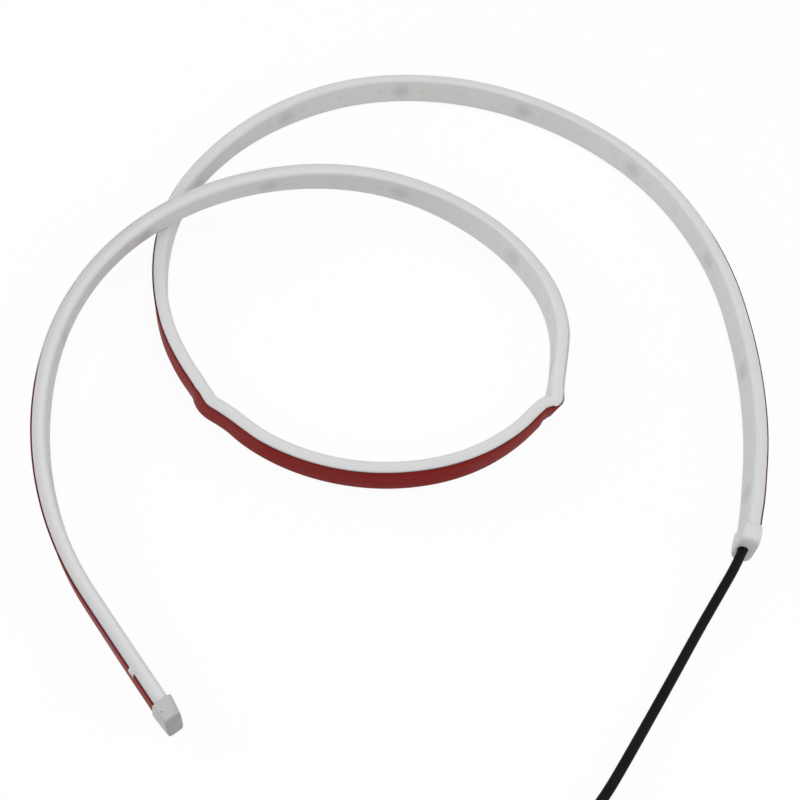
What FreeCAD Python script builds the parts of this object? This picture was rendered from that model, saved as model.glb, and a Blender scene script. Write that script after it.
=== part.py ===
"""A one metre flexible strip light for a car door, lying on a table as it was laid down.

The strip stands on edge in a double loop. Its light face looks inwards and its red-lined
mounting tape looks outwards. It starts in the cable cap at the right, runs round the back to
the left, creases, passes along the front, creases again at the right and then rises in a
smaller loop over its own left side, to end in the closed cap at the front left.

Frame: +Z up, the table at z = 0, the origin under the middle of the strip. Millimetres.
"""
import FreeCAD
import Part
import math
import os

Vector = FreeCAD.Vector
Placement = FreeCAD.Placement
Rotation = FreeCAD.Rotation

# Driving dimensions: name, value, meaning
SIZES = [
    ("segment_count", 20, "cut lengths joined in the strip"),
    ("segment_length", 50, "one cut length: three lights and one resistor"),
    ("lights_per_segment", 3, "lights in one cut length"),
    ("sleeve_width", 10.5, "silicone sleeve, across the light face"),
    ("sleeve_thickness", 4.2, "silicone sleeve, light face to tape"),
    ("sleeve_rounding", 1.0, "corner radius along the light face"),
    ("slot_width", 8.4, "hollow of the sleeve, across"),
    ("slot_depth", 2.0, "hollow of the sleeve, in thickness"),
    ("back_wall", 0.8, "silicone between the hollow and the tape"),
    ("layer_gap", 0.05, "bond line between two long layers"),
    ("circuit_width", 8.0, "flexible circuit, across"),
    ("circuit_thickness", 0.25, "flexible circuit"),
    ("light_length", 3.5, "light package, along the strip"),
    ("light_width", 2.8, "light package, across the strip"),
    ("light_height", 0.65, "light package, off the circuit"),
    ("phosphor_diameter", 2.2, "yellow window on a light package"),
    ("phosphor_height", 0.12, "yellow window on a light package"),
    ("resistor_length", 2.0, "resistor, along the strip"),
    ("resistor_width", 1.25, "resistor, across the strip"),
    ("resistor_height", 0.5, "resistor, off the circuit"),
    ("part_gap", 0.1, "solder film under a package"),
    ("tape_width", 9.2, "foam tape and its liner, across"),
    ("tape_thickness", 0.25, "foam tape"),
    ("liner_thickness", 0.12, "red release liner"),
    ("cap_cover", 3.5, "length of sleeve inside each end cap"),
    ("cap_wall_side", 1.0, "cap wall beside the sleeve at the mouth"),
    ("cap_wall_edge", 0.95, "cap wall over the sleeve's edges at the mouth"),
    ("cap_clearance", 0.1, "glue line between sleeve and cap"),
    ("cap_taper", 0.8, "how far each cap face draws in towards the end"),
    ("cap_rounding", 1.0, "corner radius of the caps"),
    ("closed_cap_length", 7.9, "blind cap, mouth to end"),
    ("closed_pocket_depth", 4.9, "blind cap, depth of its pocket"),
    ("cable_cap_length", 8.4, "cable cap, mouth to end"),
    ("cable_pocket_depth", 5.6, "cable cap, depth of its pocket"),
    ("cable_cap_swell", 1.9, "how far the cable cap's end swells on the light side"),
    ("sealant_gap", 0.15, "film between a sealant plug and its neighbours"),
    ("smear_length", 2.4, "white sealant smear on the tape, along"),
    ("smear_width", 5.5, "white sealant smear on the tape, across"),
    ("smear_thickness", 0.4, "white sealant smear over the liner"),
    ("smear_overlap", 0.4, "white sealant smear above the tape's edge"),
    ("smear_distance", 16.0, "smear to the closed end of the strip"),
    ("core_diameter", 1.0, "insulated core of the cable"),
    ("core_pitch", 1.3, "distance of the two cores inside the cable"),
    ("core_reach", 3.4, "core end inside the sleeve"),
    ("core_straight", 1.1, "straight end of a core where it leaves the cable"),
    ("core_spread", 2.1, "core to the middle of the circuit, at its pad"),
    ("joint_base", 1.5, "solder joint, diameter on the circuit"),
    ("joint_top", 0.8, "solder joint, diameter at its top"),
    ("joint_height", 0.6, "solder joint, off the circuit"),
    ("cord_diameter", 3.1, "black round cable"),
    ("cord_clearance", 0.05, "cable to the bore of its cap"),
    ("coil_radius", 18.0, "put-away coil, middle of its turns"),
    ("coil_columns", 4, "turns side by side in the coil"),
    ("coil_rows", 3, "layers of turns in the coil"),
    ("row_pitch", 3.1, "height of one layer on the next"),
    ("tie_width", 4.0, "coil tie, along the turns"),
    ("tie_thickness", 0.5, "coil tie"),
    ("tie_clearance", 0.25, "coil tie to the turns"),
    ("tie_angle", -30.0, "where on the coil the tie sits"),
    ("coil_rounding", 1.5, "corner radius of the bundle of turns"),
    ("stub_length", 26.0, "cable end that leaves the coil"),
    ("tail_length", 18.0, "insulated tails past the cable's end"),
    ("tail_spread", 9.0, "angle of each tail to the cable"),
    ("tip_length", 5.0, "tinned wire end"),
    ("tip_diameter", 0.7, "tinned wire end"),
    ("start_x", 116.43, "cable end of the sleeve, with the strip centred on the origin"),
    ("start_y", -34.49, "cable end of the sleeve, with the strip centred on the origin"),
    ("start_heading", 90.0, "direction of the strip at the cable end"),
    ("coil_x", -32.23, "middle of the coil, from the cable end of the sleeve"),
    ("coil_y", -125.71, "middle of the coil, from the cable end of the sleeve"),
    ("dip_heading", 135.0, "side on which the laid loop touches the table"),
    ("crossing_clearance", 0.6, "air between the strands where they cross"),
    ("rest_gap", 0.1, "lip of the closed cap to the table"),
    ("right_run_length", 26.5, "straight start of the strip"),
    ("right_side_radius", 217.0, "bend, at the middle of the sleeve"),
    ("right_side_turn", 18.0, "turn of that bend"),
    ("right_shoulder_radius", 117.0, "bend, at the middle of the sleeve"),
    ("right_shoulder_turn", 24.5, "turn of that bend"),
    ("back_radius", 105.0, "bend, at the middle of the sleeve"),
    ("back_turn", 121.0, "turn of that bend"),
    ("left_shoulder_radius", 77.0, "bend, at the middle of the sleeve"),
    ("left_shoulder_turn", 23.0, "turn of that bend"),
    ("left_side_radius", 104.0, "bend, at the middle of the sleeve"),
    ("left_side_turn", 38.0, "turn of that bend"),
    ("left_crease_radius", 2.5, "crease, at its hollow face"),
    ("left_crease_turn", 15.0, "turn of that crease"),
    ("front_left_radius", 128.0, "bend, at the middle of the sleeve"),
    ("front_left_turn", 11.0, "turn of that bend"),
    ("front_radius", 72.0, "bend, at the middle of the sleeve"),
    ("front_turn", 81.5, "turn of that bend"),
    ("right_swell_radius", 4.9, "outward swell, at its hollow face"),
    ("right_swell_turn", -38.5, "turn of that swell, the other way"),
    ("right_crease_radius", 2.0, "crease, at its hollow face"),
    ("right_crease_turn", 67.0, "turn of that crease"),
    ("inner_right_radius", 325.0, "bend, at the middle of the sleeve"),
    ("inner_right_turn", 4.0, "turn of that bend"),
    ("inner_shoulder_radius", 41.0, "bend, at the middle of the sleeve"),
    ("inner_shoulder_turn", 42.0, "turn of that bend"),
    ("inner_back_radius", 79.0, "bend, at the middle of the sleeve"),
    ("inner_back_turn", 61.5, "turn of that bend"),
    ("inner_left_radius", 106.0, "bend, at the middle of the sleeve"),
    ("inner_left_turn", 37.5, "turn of that bend"),
    ("free_upper_radius", 91.0, "bend, at the middle of the sleeve"),
    ("free_upper_turn", 41.0, "turn of that bend"),
    ("free_side_radius", 108.0, "bend, at the middle of the sleeve"),
    ("free_side_turn", 43.5, "turn of that bend"),
]

# Bends in the order in which the strip passes them, first the loop that lies on the table
LAID_BENDS = ["right_side", "right_shoulder", "back", "left_shoulder", "left_side",
              "left_crease", "front_left", "front", "right_swell"]
RAISED_BENDS = ["right_crease", "inner_right", "inner_shoulder", "inner_back", "inner_left",
                "free_upper", "free_side"]
# Bends whose radius is given at their hollow face
TIGHT_BENDS = ["left_crease", "right_swell", "right_crease"]

# Points of the cable from its end inside the cap to the coil: x and y from the cable end of the
# sleeve, and the lift off the table
CORD_POINTS = [
    Vector(-1.43, -2.81, 4.55),
    Vector(-3.83, -9.31, 4.55),
    Vector(-7.83, -18.61, 3.05),
    Vector(-13.63, -33.01, 1.05),
    Vector(-21.03, -51.61, 0.05),
    Vector(-29.63, -72.31, 0.05),
    Vector(-38.73, -93.51, 0.05),
    Vector(-48.33, -114.31, 1.05),
]
ARC_SHARE = 0.45        # share of the shorter run that an arc of the cable takes up
PLANE_SPAN = 900.0      # slabs and planes reach well past the whole strip
SEARCH_STEP = 2.0       # spacing of the points between which a crossing is looked for
SAME_PLACE = 0.01       # points closer than this are the same point

doc = FreeCAD.newDocument("door_strip_light")
sheet = doc.addObject("Spreadsheet::Sheet", "Sizes")
for row, (alias, value, meaning) in enumerate(SIZES, start=1):
    sheet.set("A%d" % row, alias)
    sheet.set("B%d" % row, str(value))
    sheet.set("C%d" % row, meaning)
    sheet.setAlias("B%d" % row, alias)
doc.recompute()


def size(alias):
    """A driving dimension as a number."""
    return float(sheet.get(alias))


def add(kind, name, label=None, **bound):
    """A document object whose named properties follow expressions on the sheet."""
    item = doc.addObject(kind, name)
    item.Label = label or name
    for prop, expression in bound.items():
        item.setExpression(prop, expression)
    return item


def combine(kind, name, base, tool, label=None):
    """A boolean of two document objects."""
    item = add(kind, name, label)
    item.Base = base
    item.Tool = tool
    return item


# Layers across the strip: distances from the middle of the sleeve, outwards positive
HALF_SLEEVE = size("sleeve_thickness") / 2
SLOT_OUTER = HALF_SLEEVE - size("back_wall")
SLOT_INNER = SLOT_OUTER - size("slot_depth")
CIRCUIT_OUTER = SLOT_OUTER - size("layer_gap")
CIRCUIT_INNER = CIRCUIT_OUTER - size("circuit_thickness")
TAPE_INNER = HALF_SLEEVE + size("layer_gap")
TAPE_OUTER = TAPE_INNER + size("tape_thickness")
LINER_INNER = TAPE_OUTER + size("layer_gap")
LINER_OUTER = LINER_INNER + size("liner_thickness")
STRIP_LENGTH = size("segment_count") * size("segment_length")
HALF_WIDTH = size("sleeve_width") / 2
CAP_LIP = size("cap_wall_edge") + size("cap_clearance")
STRIP_START = Vector(size("start_x"), size("start_y"), 0)
COIL_MIDDLE = STRIP_START + Vector(size("coil_x"), size("coil_y"), 0)
CORD_RISE = Vector(0, 0, size("cord_diameter") / 2)
CORD_ROUTE = [STRIP_START + point + CORD_RISE for point in CORD_POINTS]


class Route:
    """The middle of the sleeve in plan: a straight start, bends and a straight end."""

    def __init__(self):
        self.pieces = []
        self.length = 0.0
        self.x, self.y = STRIP_START.x, STRIP_START.y
        self.heading = math.radians(size("start_heading"))
        self.extend(size("right_run_length"), 0.0)
        self.bend_all(LAID_BENDS)
        self.hinge = self.length
        self.bend_all(RAISED_BENDS)
        self.extend(STRIP_LENGTH - self.length, 0.0)

    def bend_all(self, names):
        for name in names:
            turn = math.radians(size(name + "_turn"))
            radius = size(name + "_radius")
            if name in TIGHT_BENDS:
                hollow_side = HALF_SLEEVE if turn > 0 else LINER_OUTER
                radius += hollow_side
            self.extend(radius * abs(turn), math.copysign(1 / radius, turn))

    def extend(self, length, curvature):
        """Add a piece, cut short where the strip ends within it."""
        length = min(length, STRIP_LENGTH - self.length)
        if length <= 0:
            return
        self.pieces.append((self.length, length, curvature, self.x, self.y, self.heading))
        self.length += length
        point, self.heading = self.at(self.length)
        self.x, self.y = point.x, point.y

    def at(self, station, offset=0.0):
        """Point and heading at a station, moved outwards by an offset."""
        piece = self.pieces[0]
        for candidate in self.pieces:
            if candidate[0] <= station:
                piece = candidate
        return self.on_piece(piece, station, offset)

    def on_piece(self, piece, station, offset):
        """Point and heading on one straight run or bend."""
        start, _length, curvature, x, y, heading = piece
        run = station - start
        turned = heading + curvature * run
        if curvature:
            x += (math.sin(turned) - math.sin(heading)) / curvature
            y -= (math.cos(turned) - math.cos(heading)) / curvature
        else:
            x += run * math.cos(heading)
            y += run * math.sin(heading)
        outwards = Vector(math.sin(turned), -math.cos(turned), 0)
        return Vector(x, y, 0) + outwards * offset, turned

    def side(self, first, last, offset):
        """Edges of a line beside the middle of the sleeve, between two stations."""
        edges = []
        for piece in self.pieces:
            start, length, curvature = piece[:3]
            low = max(first, start)
            high = min(last, start + length)
            if high - low < SAME_PLACE:
                continue
            stations = (low, (low + high) / 2, high)
            begin, middle, end = [self.on_piece(piece, station, offset)[0] for station in stations]
            if curvature:
                edges.append(Part.Arc(begin, middle, end).toShape())
            else:
                edges.append(Part.LineSegment(begin, end).toShape())
        return edges

    def band(self, first, last, inner, outer):
        """Plan of one layer between two stations, as a flat face on the table."""
        near = self.side(first, last, inner)
        far = self.side(first, last, outer)
        ends = [Part.LineSegment(near[0].firstVertex().Point, far[0].firstVertex().Point).toShape(),
                Part.LineSegment(near[-1].lastVertex().Point, far[-1].lastVertex().Point).toShape()]
        outline = Part.Wire(Part.sortEdges(near + far + ends)[0])
        return Part.Face(outline)

    def crossing(self):
        """Where the raised strand passes over the laid one, in plan."""
        count = int(STRIP_LENGTH / SEARCH_STEP)
        points = [self.at(STRIP_LENGTH * i / count)[0] for i in range(count + 1)]
        split = int(count * self.hinge / STRIP_LENGTH) + 1
        for upper in range(split + 1, count):
            for lower in range(split - 1):
                point = cross_point(points[lower], points[lower + 1], points[upper], points[upper + 1])
                if point:
                    return point
        return None


def cross_point(a, b, c, d):
    """Point where the segments ab and cd cross in plan, or nothing."""
    along, other = b - a, d - c
    spin = along.x * other.y - along.y * other.x
    if abs(spin) < SAME_PLACE ** 2:
        return None
    gap = c - a
    first = (gap.x * other.y - gap.y * other.x) / spin
    second = (gap.x * along.y - gap.y * along.x) / spin
    if 0 <= first <= 1 and 0 <= second <= 1:
        return a + along * first
    return None


class Plane:
    """A slightly tilted plane on which the lower edge of a strand runs."""

    def __init__(self, point, slope_x, slope_y):
        self.point, self.slope_x, self.slope_y = point, slope_x, slope_y

    def height(self, point):
        gap = point - self.point
        return self.point.z + self.slope_x * gap.x + self.slope_y * gap.y

    def placement(self, lift=0.0):
        """Corner of a wide slab on this plane, lifted off it."""
        upright = Vector(-self.slope_x, -self.slope_y, 1)
        on_plane = Placement(self.point, Rotation(Vector(0, 0, 1), upright))
        return on_plane.multiply(Placement(Vector(-PLANE_SPAN / 2, -PLANE_SPAN / 2, lift), Rotation()))


def laid_plane(route):
    """The laid loop touches the table on one side and stands on the lip of the cable cap."""
    turn = math.radians(size("dip_heading"))
    dip = Vector(math.cos(turn), math.sin(turn), 0)
    count = int(route.hinge / SEARCH_STEP)
    points = [route.at(route.hinge * i / count, LINER_OUTER)[0] for i in range(count + 1)]
    lowest = max(points, key=lambda point: point.dot(dip))
    mouth = route.at(size("cap_cover"))[0]
    slope = -CAP_LIP / (lowest - mouth).dot(dip)
    return Plane(lowest, slope * dip.x, slope * dip.y)


def raised_plane(route, laid):
    """The raised strand hinges at the right crease, clears the laid one and ends on its cap."""
    hinge = route.at(route.hinge)[0]
    hinge.z = laid.height(hinge)
    end = route.at(STRIP_LENGTH - size("cap_cover"))[0]
    over = route.crossing()
    if over is None:
        return Plane(hinge, laid.slope_x, laid.slope_y)
    clear = laid.height(over) + size("sleeve_width") + size("crossing_clearance") - hinge.z
    lip = CAP_LIP + size("rest_gap") - hinge.z
    to_over, to_end = over - hinge, end - hinge
    spin = to_over.x * to_end.y - to_over.y * to_end.x
    slope_x = (clear * to_end.y - lip * to_over.y) / spin
    slope_y = (lip * to_over.x - clear * to_end.x) / spin
    return Plane(hinge, slope_x, slope_y)


ROUTE = Route()
LAID = laid_plane(ROUTE)
RAISED = raised_plane(ROUTE, LAID)


def seat(station, offset):
    """Frame on the strip's middle height: X towards the cable end, Y up, Z inwards."""
    plane = LAID if station <= ROUTE.hinge else RAISED
    point, heading = ROUTE.at(station, offset)
    forward = Vector(math.cos(heading), math.sin(heading), 0)
    forward.z = plane.slope_x * forward.x + plane.slope_y * forward.y
    inwards = Vector(-math.sin(heading), math.cos(heading), 0)
    back = forward * (-1 / forward.Length)
    upright = inwards.cross(back)
    point.z = plane.height(point)
    return Placement(point + upright * HALF_WIDTH, Rotation(back, upright, inwards, "ZXY"))


def place(item, frame, x=0.0, y=0.0, z=0.0, turned=None):
    """Set an object at a point of a frame."""
    item.Placement = frame.multiply(Placement(Vector(x, y, z), turned or Rotation()))


def strand_halves(name, inner, outer, width, first, last):
    """The laid and the raised half of one long layer, each cut to the layer's width."""
    halves = []
    strands = (("laid", LAID, first, ROUTE.hinge), ("raised", RAISED, ROUTE.hinge, last))
    for strand, plane, begin, end in strands:
        outline = add("Part::Feature", "%s_%s_plan" % (name, strand))
        outline.Shape = ROUTE.band(begin, end, inner, outer)
        outline.Placement = Placement(Vector(0, 0, -HALF_WIDTH), Rotation())
        wall = add("Part::Extrusion", "%s_%s_wall" % (name, strand), LengthFwd="Sizes.sleeve_width * 4")
        wall.Base = outline
        wall.DirMode = "Custom"
        wall.Dir = Vector(0, 0, 1)
        wall.Solid = True
        slab = add("Part::Box", "%s_%s_slab" % (name, strand), Height="Sizes.%s" % width)
        slab.Length = PLANE_SPAN
        slab.Width = PLANE_SPAN
        slab.Placement = plane.placement(HALF_WIDTH - size(width) / 2)
        halves.append(combine("Part::Common", "%s_%s" % (name, strand), wall, slab))
    return halves


def long_layer(label, inner, outer, width, first, last):
    """One long layer of the strip, both strands in one piece."""
    halves = strand_halves(label, inner, outer, width, first, last)
    return combine("Part::Fuse", label + "_whole", halves[0], halves[1], label)


def rounded_half(half, first, last):
    """A half of the sleeve with both long edges of its light face rounded."""
    doc.recompute()
    face_line = Part.Wire(Part.sortEdges(ROUTE.side(first, last, -HALF_SLEEVE))[0])
    radius = size("sleeve_rounding")
    chosen = []
    for index, edge in enumerate(half.Shape.Edges, start=1):
        middle = edge.valueAt((edge.FirstParameter + edge.LastParameter) / 2)
        ends = [vertex.Point for vertex in edge.Vertexes]
        lengthwise = math.hypot(ends[0].x - ends[-1].x, ends[0].y - ends[-1].y) > SAME_PLACE
        shadow = Part.Vertex(Vector(middle.x, middle.y, 0))
        if lengthwise and face_line.distToShape(shadow)[0] < SAME_PLACE:
            chosen.append((index, radius, radius))
    rounded = add("Part::Fillet", half.Name + "_rounded")
    rounded.Base = half
    rounded.Edges = chosen
    return rounded


def sleeve():
    """Silicone sleeve with its hollow."""
    laid, raised = strand_halves("sleeve", -HALF_SLEEVE, HALF_SLEEVE, "sleeve_width", 0, STRIP_LENGTH)
    laid = rounded_half(laid, 0, ROUTE.hinge)
    raised = rounded_half(raised, ROUTE.hinge, STRIP_LENGTH)
    body = combine("Part::Fuse", "sleeve_body", laid, raised)
    hollow = long_layer("sleeve_hollow", SLOT_INNER, SLOT_OUTER, "slot_width", 0, STRIP_LENGTH)
    return combine("Part::Cut", "sleeve_whole", body, hollow, "silicone_sleeve")


def group(label, members):
    """Like pieces in one node."""
    item = add("Part::Compound", label)
    item.Links = members
    return item


def package(name, station, kind):
    """A small block soldered on the circuit."""
    block = add("Part::Box", name + "_block", Length="Sizes.%s_length" % kind,
                Width="Sizes.%s_width" % kind, Height="Sizes.%s_height" % kind)
    frame = seat(station, CIRCUIT_INNER - size("part_gap"))
    place(block, frame, -size(kind + "_length") / 2, -size(kind + "_width") / 2)
    return block


def lights():
    """The light packages and their yellow windows."""
    pitch = size("segment_length") / size("lights_per_segment")
    total = int(size("segment_count") * size("lights_per_segment"))
    packages, windows = [], []
    for index in range(total):
        station = (index + 0.5) * pitch
        packages.append(package("light_%d" % index, station, "light"))
        window = add("Part::Cylinder", "window_%d" % index, Radius="Sizes.phosphor_diameter / 2",
                     Height="Sizes.phosphor_height")
        frame = seat(station, CIRCUIT_INNER - size("part_gap"))
        place(window, frame, z=size("light_height"))
        windows.append(window)
    return [group("led_chips", packages), group("led_windows", windows)]


def resistors():
    """One resistor between the first two lights of each cut length."""
    pitch = size("segment_length") / size("lights_per_segment")
    blocks = []
    for index in range(int(size("segment_count"))):
        station = index * size("segment_length") + pitch
        blocks.append(package("resistor_%d" % index, station, "resistor"))
    return group("resistors", blocks)


def cap(name, label, frame, swell):
    """A tapered end cap with a pocket for the sleeve; the frame has X towards its closed end."""
    length = name + "_cap_length"
    mouth_y = "Sizes.sleeve_width / 2 + Sizes.cap_clearance + Sizes.cap_wall_edge"
    mouth_z = "Sizes.sleeve_thickness / 2 + Sizes.cap_clearance + Sizes.cap_wall_side"
    block = add("Part::Wedge", name + "_cap_block", Ymin="0", Ymax="Sizes." + length,
                Xmin="-(%s)" % mouth_y, Xmax=mouth_y,
                Zmin="-(%s)" % mouth_z, Zmax=mouth_z,
                X2min="-(%s) + Sizes.cap_taper" % mouth_y, X2max="%s - Sizes.cap_taper" % mouth_y,
                Z2min="-(%s) + Sizes.cap_taper" % mouth_z,
                Z2max="%s - Sizes.cap_taper + %s" % (mouth_z, swell))
    doc.recompute()
    radius = size("cap_rounding")
    rounded = add("Part::Fillet", name + "_cap_rounded")
    rounded.Base = block
    rounded.Edges = [(index, radius, radius) for index, edge in enumerate(block.Shape.Edges, start=1)
                     if max(vertex.Y for vertex in edge.Vertexes) > SAME_PLACE]
    pocket = add("Part::Box", name + "_cap_pocket",
                 Length="Sizes.sleeve_width + 2 * Sizes.cap_clearance",
                 Width="Sizes.%s_pocket_depth + Sizes.cap_clearance" % name,
                 Height="Sizes.sleeve_thickness + 2 * Sizes.cap_clearance")
    pocket.Placement = Placement(Vector(-HALF_WIDTH - size("cap_clearance"), -size("cap_clearance"),
                                        -HALF_SLEEVE - size("cap_clearance")), Rotation())
    hollow = combine("Part::Cut", name + "_cap_hollow", rounded, pocket, label)
    hollow.Placement = frame.multiply(Placement(Vector(), Rotation(Vector(0, 0, 1), -90)))
    return hollow


def sealant_plug(name, label, frame, station):
    """Sealant in the bottom of a cap's pocket, past the leaning end of the sleeve."""
    lean = abs(seat(station, 0).Rotation.multVec(Vector(1, 0, 0)).z)
    gap = size("sealant_gap")
    first = size("cap_cover") + HALF_WIDTH * lean + gap
    plug = add("Part::Box", name + "_plug", label,
               Length="Sizes.%s_pocket_depth - Sizes.sealant_gap - %.4f" % (name, first),
               Width="Sizes.sleeve_width - 2 * Sizes.sealant_gap",
               Height="Sizes.sleeve_thickness - 2 * Sizes.sealant_gap")
    place(plug, frame, first, gap - HALF_WIDTH, gap - HALF_SLEEVE)
    return plug


def bent_path(points):
    """Straight runs joined by tangent arcs, each as large as its two runs allow."""
    edges, radii = [], []
    last = points[0]
    for before, corner, after in zip(points, points[1:], points[2:]):
        back, ahead = before - corner, after - corner
        half_turn = (math.pi - back.getAngle(ahead)) / 2
        reach = ARC_SHARE * min(back.Length, ahead.Length)
        radius = reach / math.tan(half_turn)
        radii.append(round(radius, 1))
        back.normalize()
        ahead.normalize()
        inwards = back + ahead
        inwards.normalize()
        begin, end = corner + back * reach, corner + ahead * reach
        middle = corner + inwards * (radius / math.cos(half_turn) - radius)
        edges.append(Part.LineSegment(last, begin).toShape())
        edges.append(Part.Arc(begin, middle, end).toShape())
        last = end
    edges.append(Part.LineSegment(last, points[-1]).toShape())
    return Part.Wire(edges), radii


def tube(name, label, points, diameter):
    """A round tube along a route of points."""
    path = add("Part::Feature", name + "_path")
    path.Shape, radii = bent_path(points)
    section = add("Part::Circle", name + "_section", Radius="Sizes.%s / 2" % diameter)
    section.Placement = Placement(points[0], Rotation(Vector(0, 0, 1), points[1] - points[0]))
    swept = add("Part::Sweep", name, label)
    swept.Sections = [section]
    swept.Spine = (path, ["Edge%d" % (i + 1) for i in range(len(path.Shape.Edges))])
    swept.Solid = True
    doc.recompute()
    filled = math.pi * size(diameter) ** 2 / 4 * path.Shape.Length
    print(name, "radii", radii, "volume to section by length", round(swept.Shape.Volume / filled, 4))
    return swept


def closed_end(frame):
    """Blind cap and the sealant in it."""
    return [cap("closed", "closed_end_cap", frame, "0"),
            sealant_plug("closed", "closed_end_sealant", frame, STRIP_LENGTH)]


def cable_end(frame):
    """Cable cap, the cores soldered to the circuit, and the sealant around them."""
    solid_cap = cap("cable", "cable_cap_unbored", frame, "Sizes.cable_cap_swell")
    along = CORD_ROUTE[1] - CORD_ROUTE[0]
    along.normalize()
    core_turn = CORD_ROUTE[0] - along * size("core_straight")
    bore = add("Part::Cylinder", "cable_bore", Radius="Sizes.cord_diameter / 2 + Sizes.cord_clearance",
               Height="Sizes.cable_cap_length")
    bore.Placement = Placement(core_turn, Rotation(Vector(0, 0, 1), along))
    parts = [combine("Part::Cut", "cable_cap", solid_cap, bore, "cable_end_cap")]
    cores, joints = [], []
    core_offset = CIRCUIT_INNER - size("part_gap") - size("core_diameter") / 2
    joint_station = size("core_reach") + size("joint_base") / 2 + size("part_gap")
    for name, side in (("core_red", 1), ("core_black", -1)):
        spread = side * size("core_spread")
        beside = Vector(0, 0, side * size("core_pitch") / 2)
        route = [seat(size("core_reach"), core_offset).multVec(Vector(0, spread, 0)),
                 seat(0, core_offset).multVec(Vector(size("sealant_gap"), spread, 0)),
                 core_turn + beside,
                 CORD_ROUTE[0] + beside]
        cores.append(tube(name, name, route, "core_diameter"))
        joint = add("Part::Cone", name + "_joint", Radius1="Sizes.joint_base / 2",
                    Radius2="Sizes.joint_top / 2", Height="Sizes.joint_height")
        place(joint, seat(joint_station, CIRCUIT_INNER - size("part_gap")), y=spread)
        joints.append(joint)
    plug = sealant_plug("cable", "cable_plug", frame, 0)
    pair = combine("Part::Fuse", "core_pair", cores[0], cores[1])
    parts.append(combine("Part::Cut", "cable_plug_cut", plug, pair, "cable_end_sealant"))
    return parts + cores + [group("solder_joints", joints)]


def smear():
    """White sealant smeared over the edge of the tape near the closed end."""
    station = STRIP_LENGTH - size("smear_distance")
    frame = seat(station, LINER_OUTER + size("layer_gap"))
    half_tape = size("tape_width") / 2
    patch = add("Part::Box", "smear_face", Length="Sizes.smear_length", Width="Sizes.smear_width",
                Height="Sizes.smear_thickness")
    top = half_tape + size("layer_gap")
    place(patch, frame, -size("smear_length") / 2, top - size("smear_width"), -size("smear_thickness"))
    layers = "Sizes.tape_thickness + Sizes.liner_thickness + 2 * Sizes.layer_gap"
    over = add("Part::Box", "smear_edge", Length="Sizes.smear_length", Width="Sizes.smear_overlap",
               Height=layers + " + Sizes.smear_thickness")
    place(over, frame, -size("smear_length") / 2, top, -size("smear_thickness"))
    return combine("Part::Fuse", "smear", patch, over, "sealant_smear")


def coil():
    """The put-away length of the cable as one ring, its tie, and its bare end."""
    base = size("tie_thickness") + size("tie_clearance")
    centre = COIL_MIDDLE + Vector(0, 0, base)
    half_bundle = "Sizes.coil_columns * Sizes.cord_diameter / 2"
    bundle_height = "(Sizes.coil_rows - 1) * Sizes.row_pitch + Sizes.cord_diameter"
    outside = add("Part::Cylinder", "coil_outside", Radius="Sizes.coil_radius + " + half_bundle,
                  Height=bundle_height)
    inside = add("Part::Cylinder", "coil_inside", Radius="Sizes.coil_radius - " + half_bundle,
                 Height=bundle_height)
    for item in (outside, inside):
        item.Placement = Placement(centre, Rotation())
    ring = combine("Part::Cut", "coil_ring", outside, inside)
    doc.recompute()
    radius = size("coil_rounding")
    bundle = add("Part::Fillet", "coil_bundle", "cord_coil")
    bundle.Base = ring
    bundle.Edges = [(index, radius, radius) for index, edge in enumerate(ring.Shape.Edges, start=1)
                    if edge.isClosed() and len(edge.Vertexes) == 1]
    lead = tube("cord_lead", "cord_lead", CORD_ROUTE, "cord_diameter")
    cord = combine("Part::Cut", "cord_tube", lead, bundle, "cord")
    return [cord, bundle] + [coil_tie(centre)] + cord_end(centre, bundle)


def coil_tie(centre):
    """A band round the bundle of turns."""
    frame = Placement(centre, Rotation(Vector(0, 0, 1), size("tie_angle")))
    bundle_width = "Sizes.coil_columns * Sizes.cord_diameter"
    bundle_height = "(Sizes.coil_rows - 1) * Sizes.row_pitch + Sizes.cord_diameter"
    blocks = []
    for name, wall in (("tie_inside", "Sizes.tie_clearance"),
                       ("tie_outside", "(Sizes.tie_clearance + Sizes.tie_thickness)")):
        block = add("Part::Box", name, Length="%s + 2 * %s" % (bundle_width, wall), Width="Sizes.tie_width",
                    Height="%s + 2 * %s" % (bundle_height, wall))
        doc.recompute()
        wall_value = (block.Length.Value - size("coil_columns") * size("cord_diameter")) / 2
        inner_edge = size("coil_radius") - block.Length.Value / 2
        place(block, frame, inner_edge, -size("tie_width") / 2, -wall_value)
        blocks.append(block)
    return combine("Part::Cut", "tie_band", blocks[1], blocks[0], "coil_tie")


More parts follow.
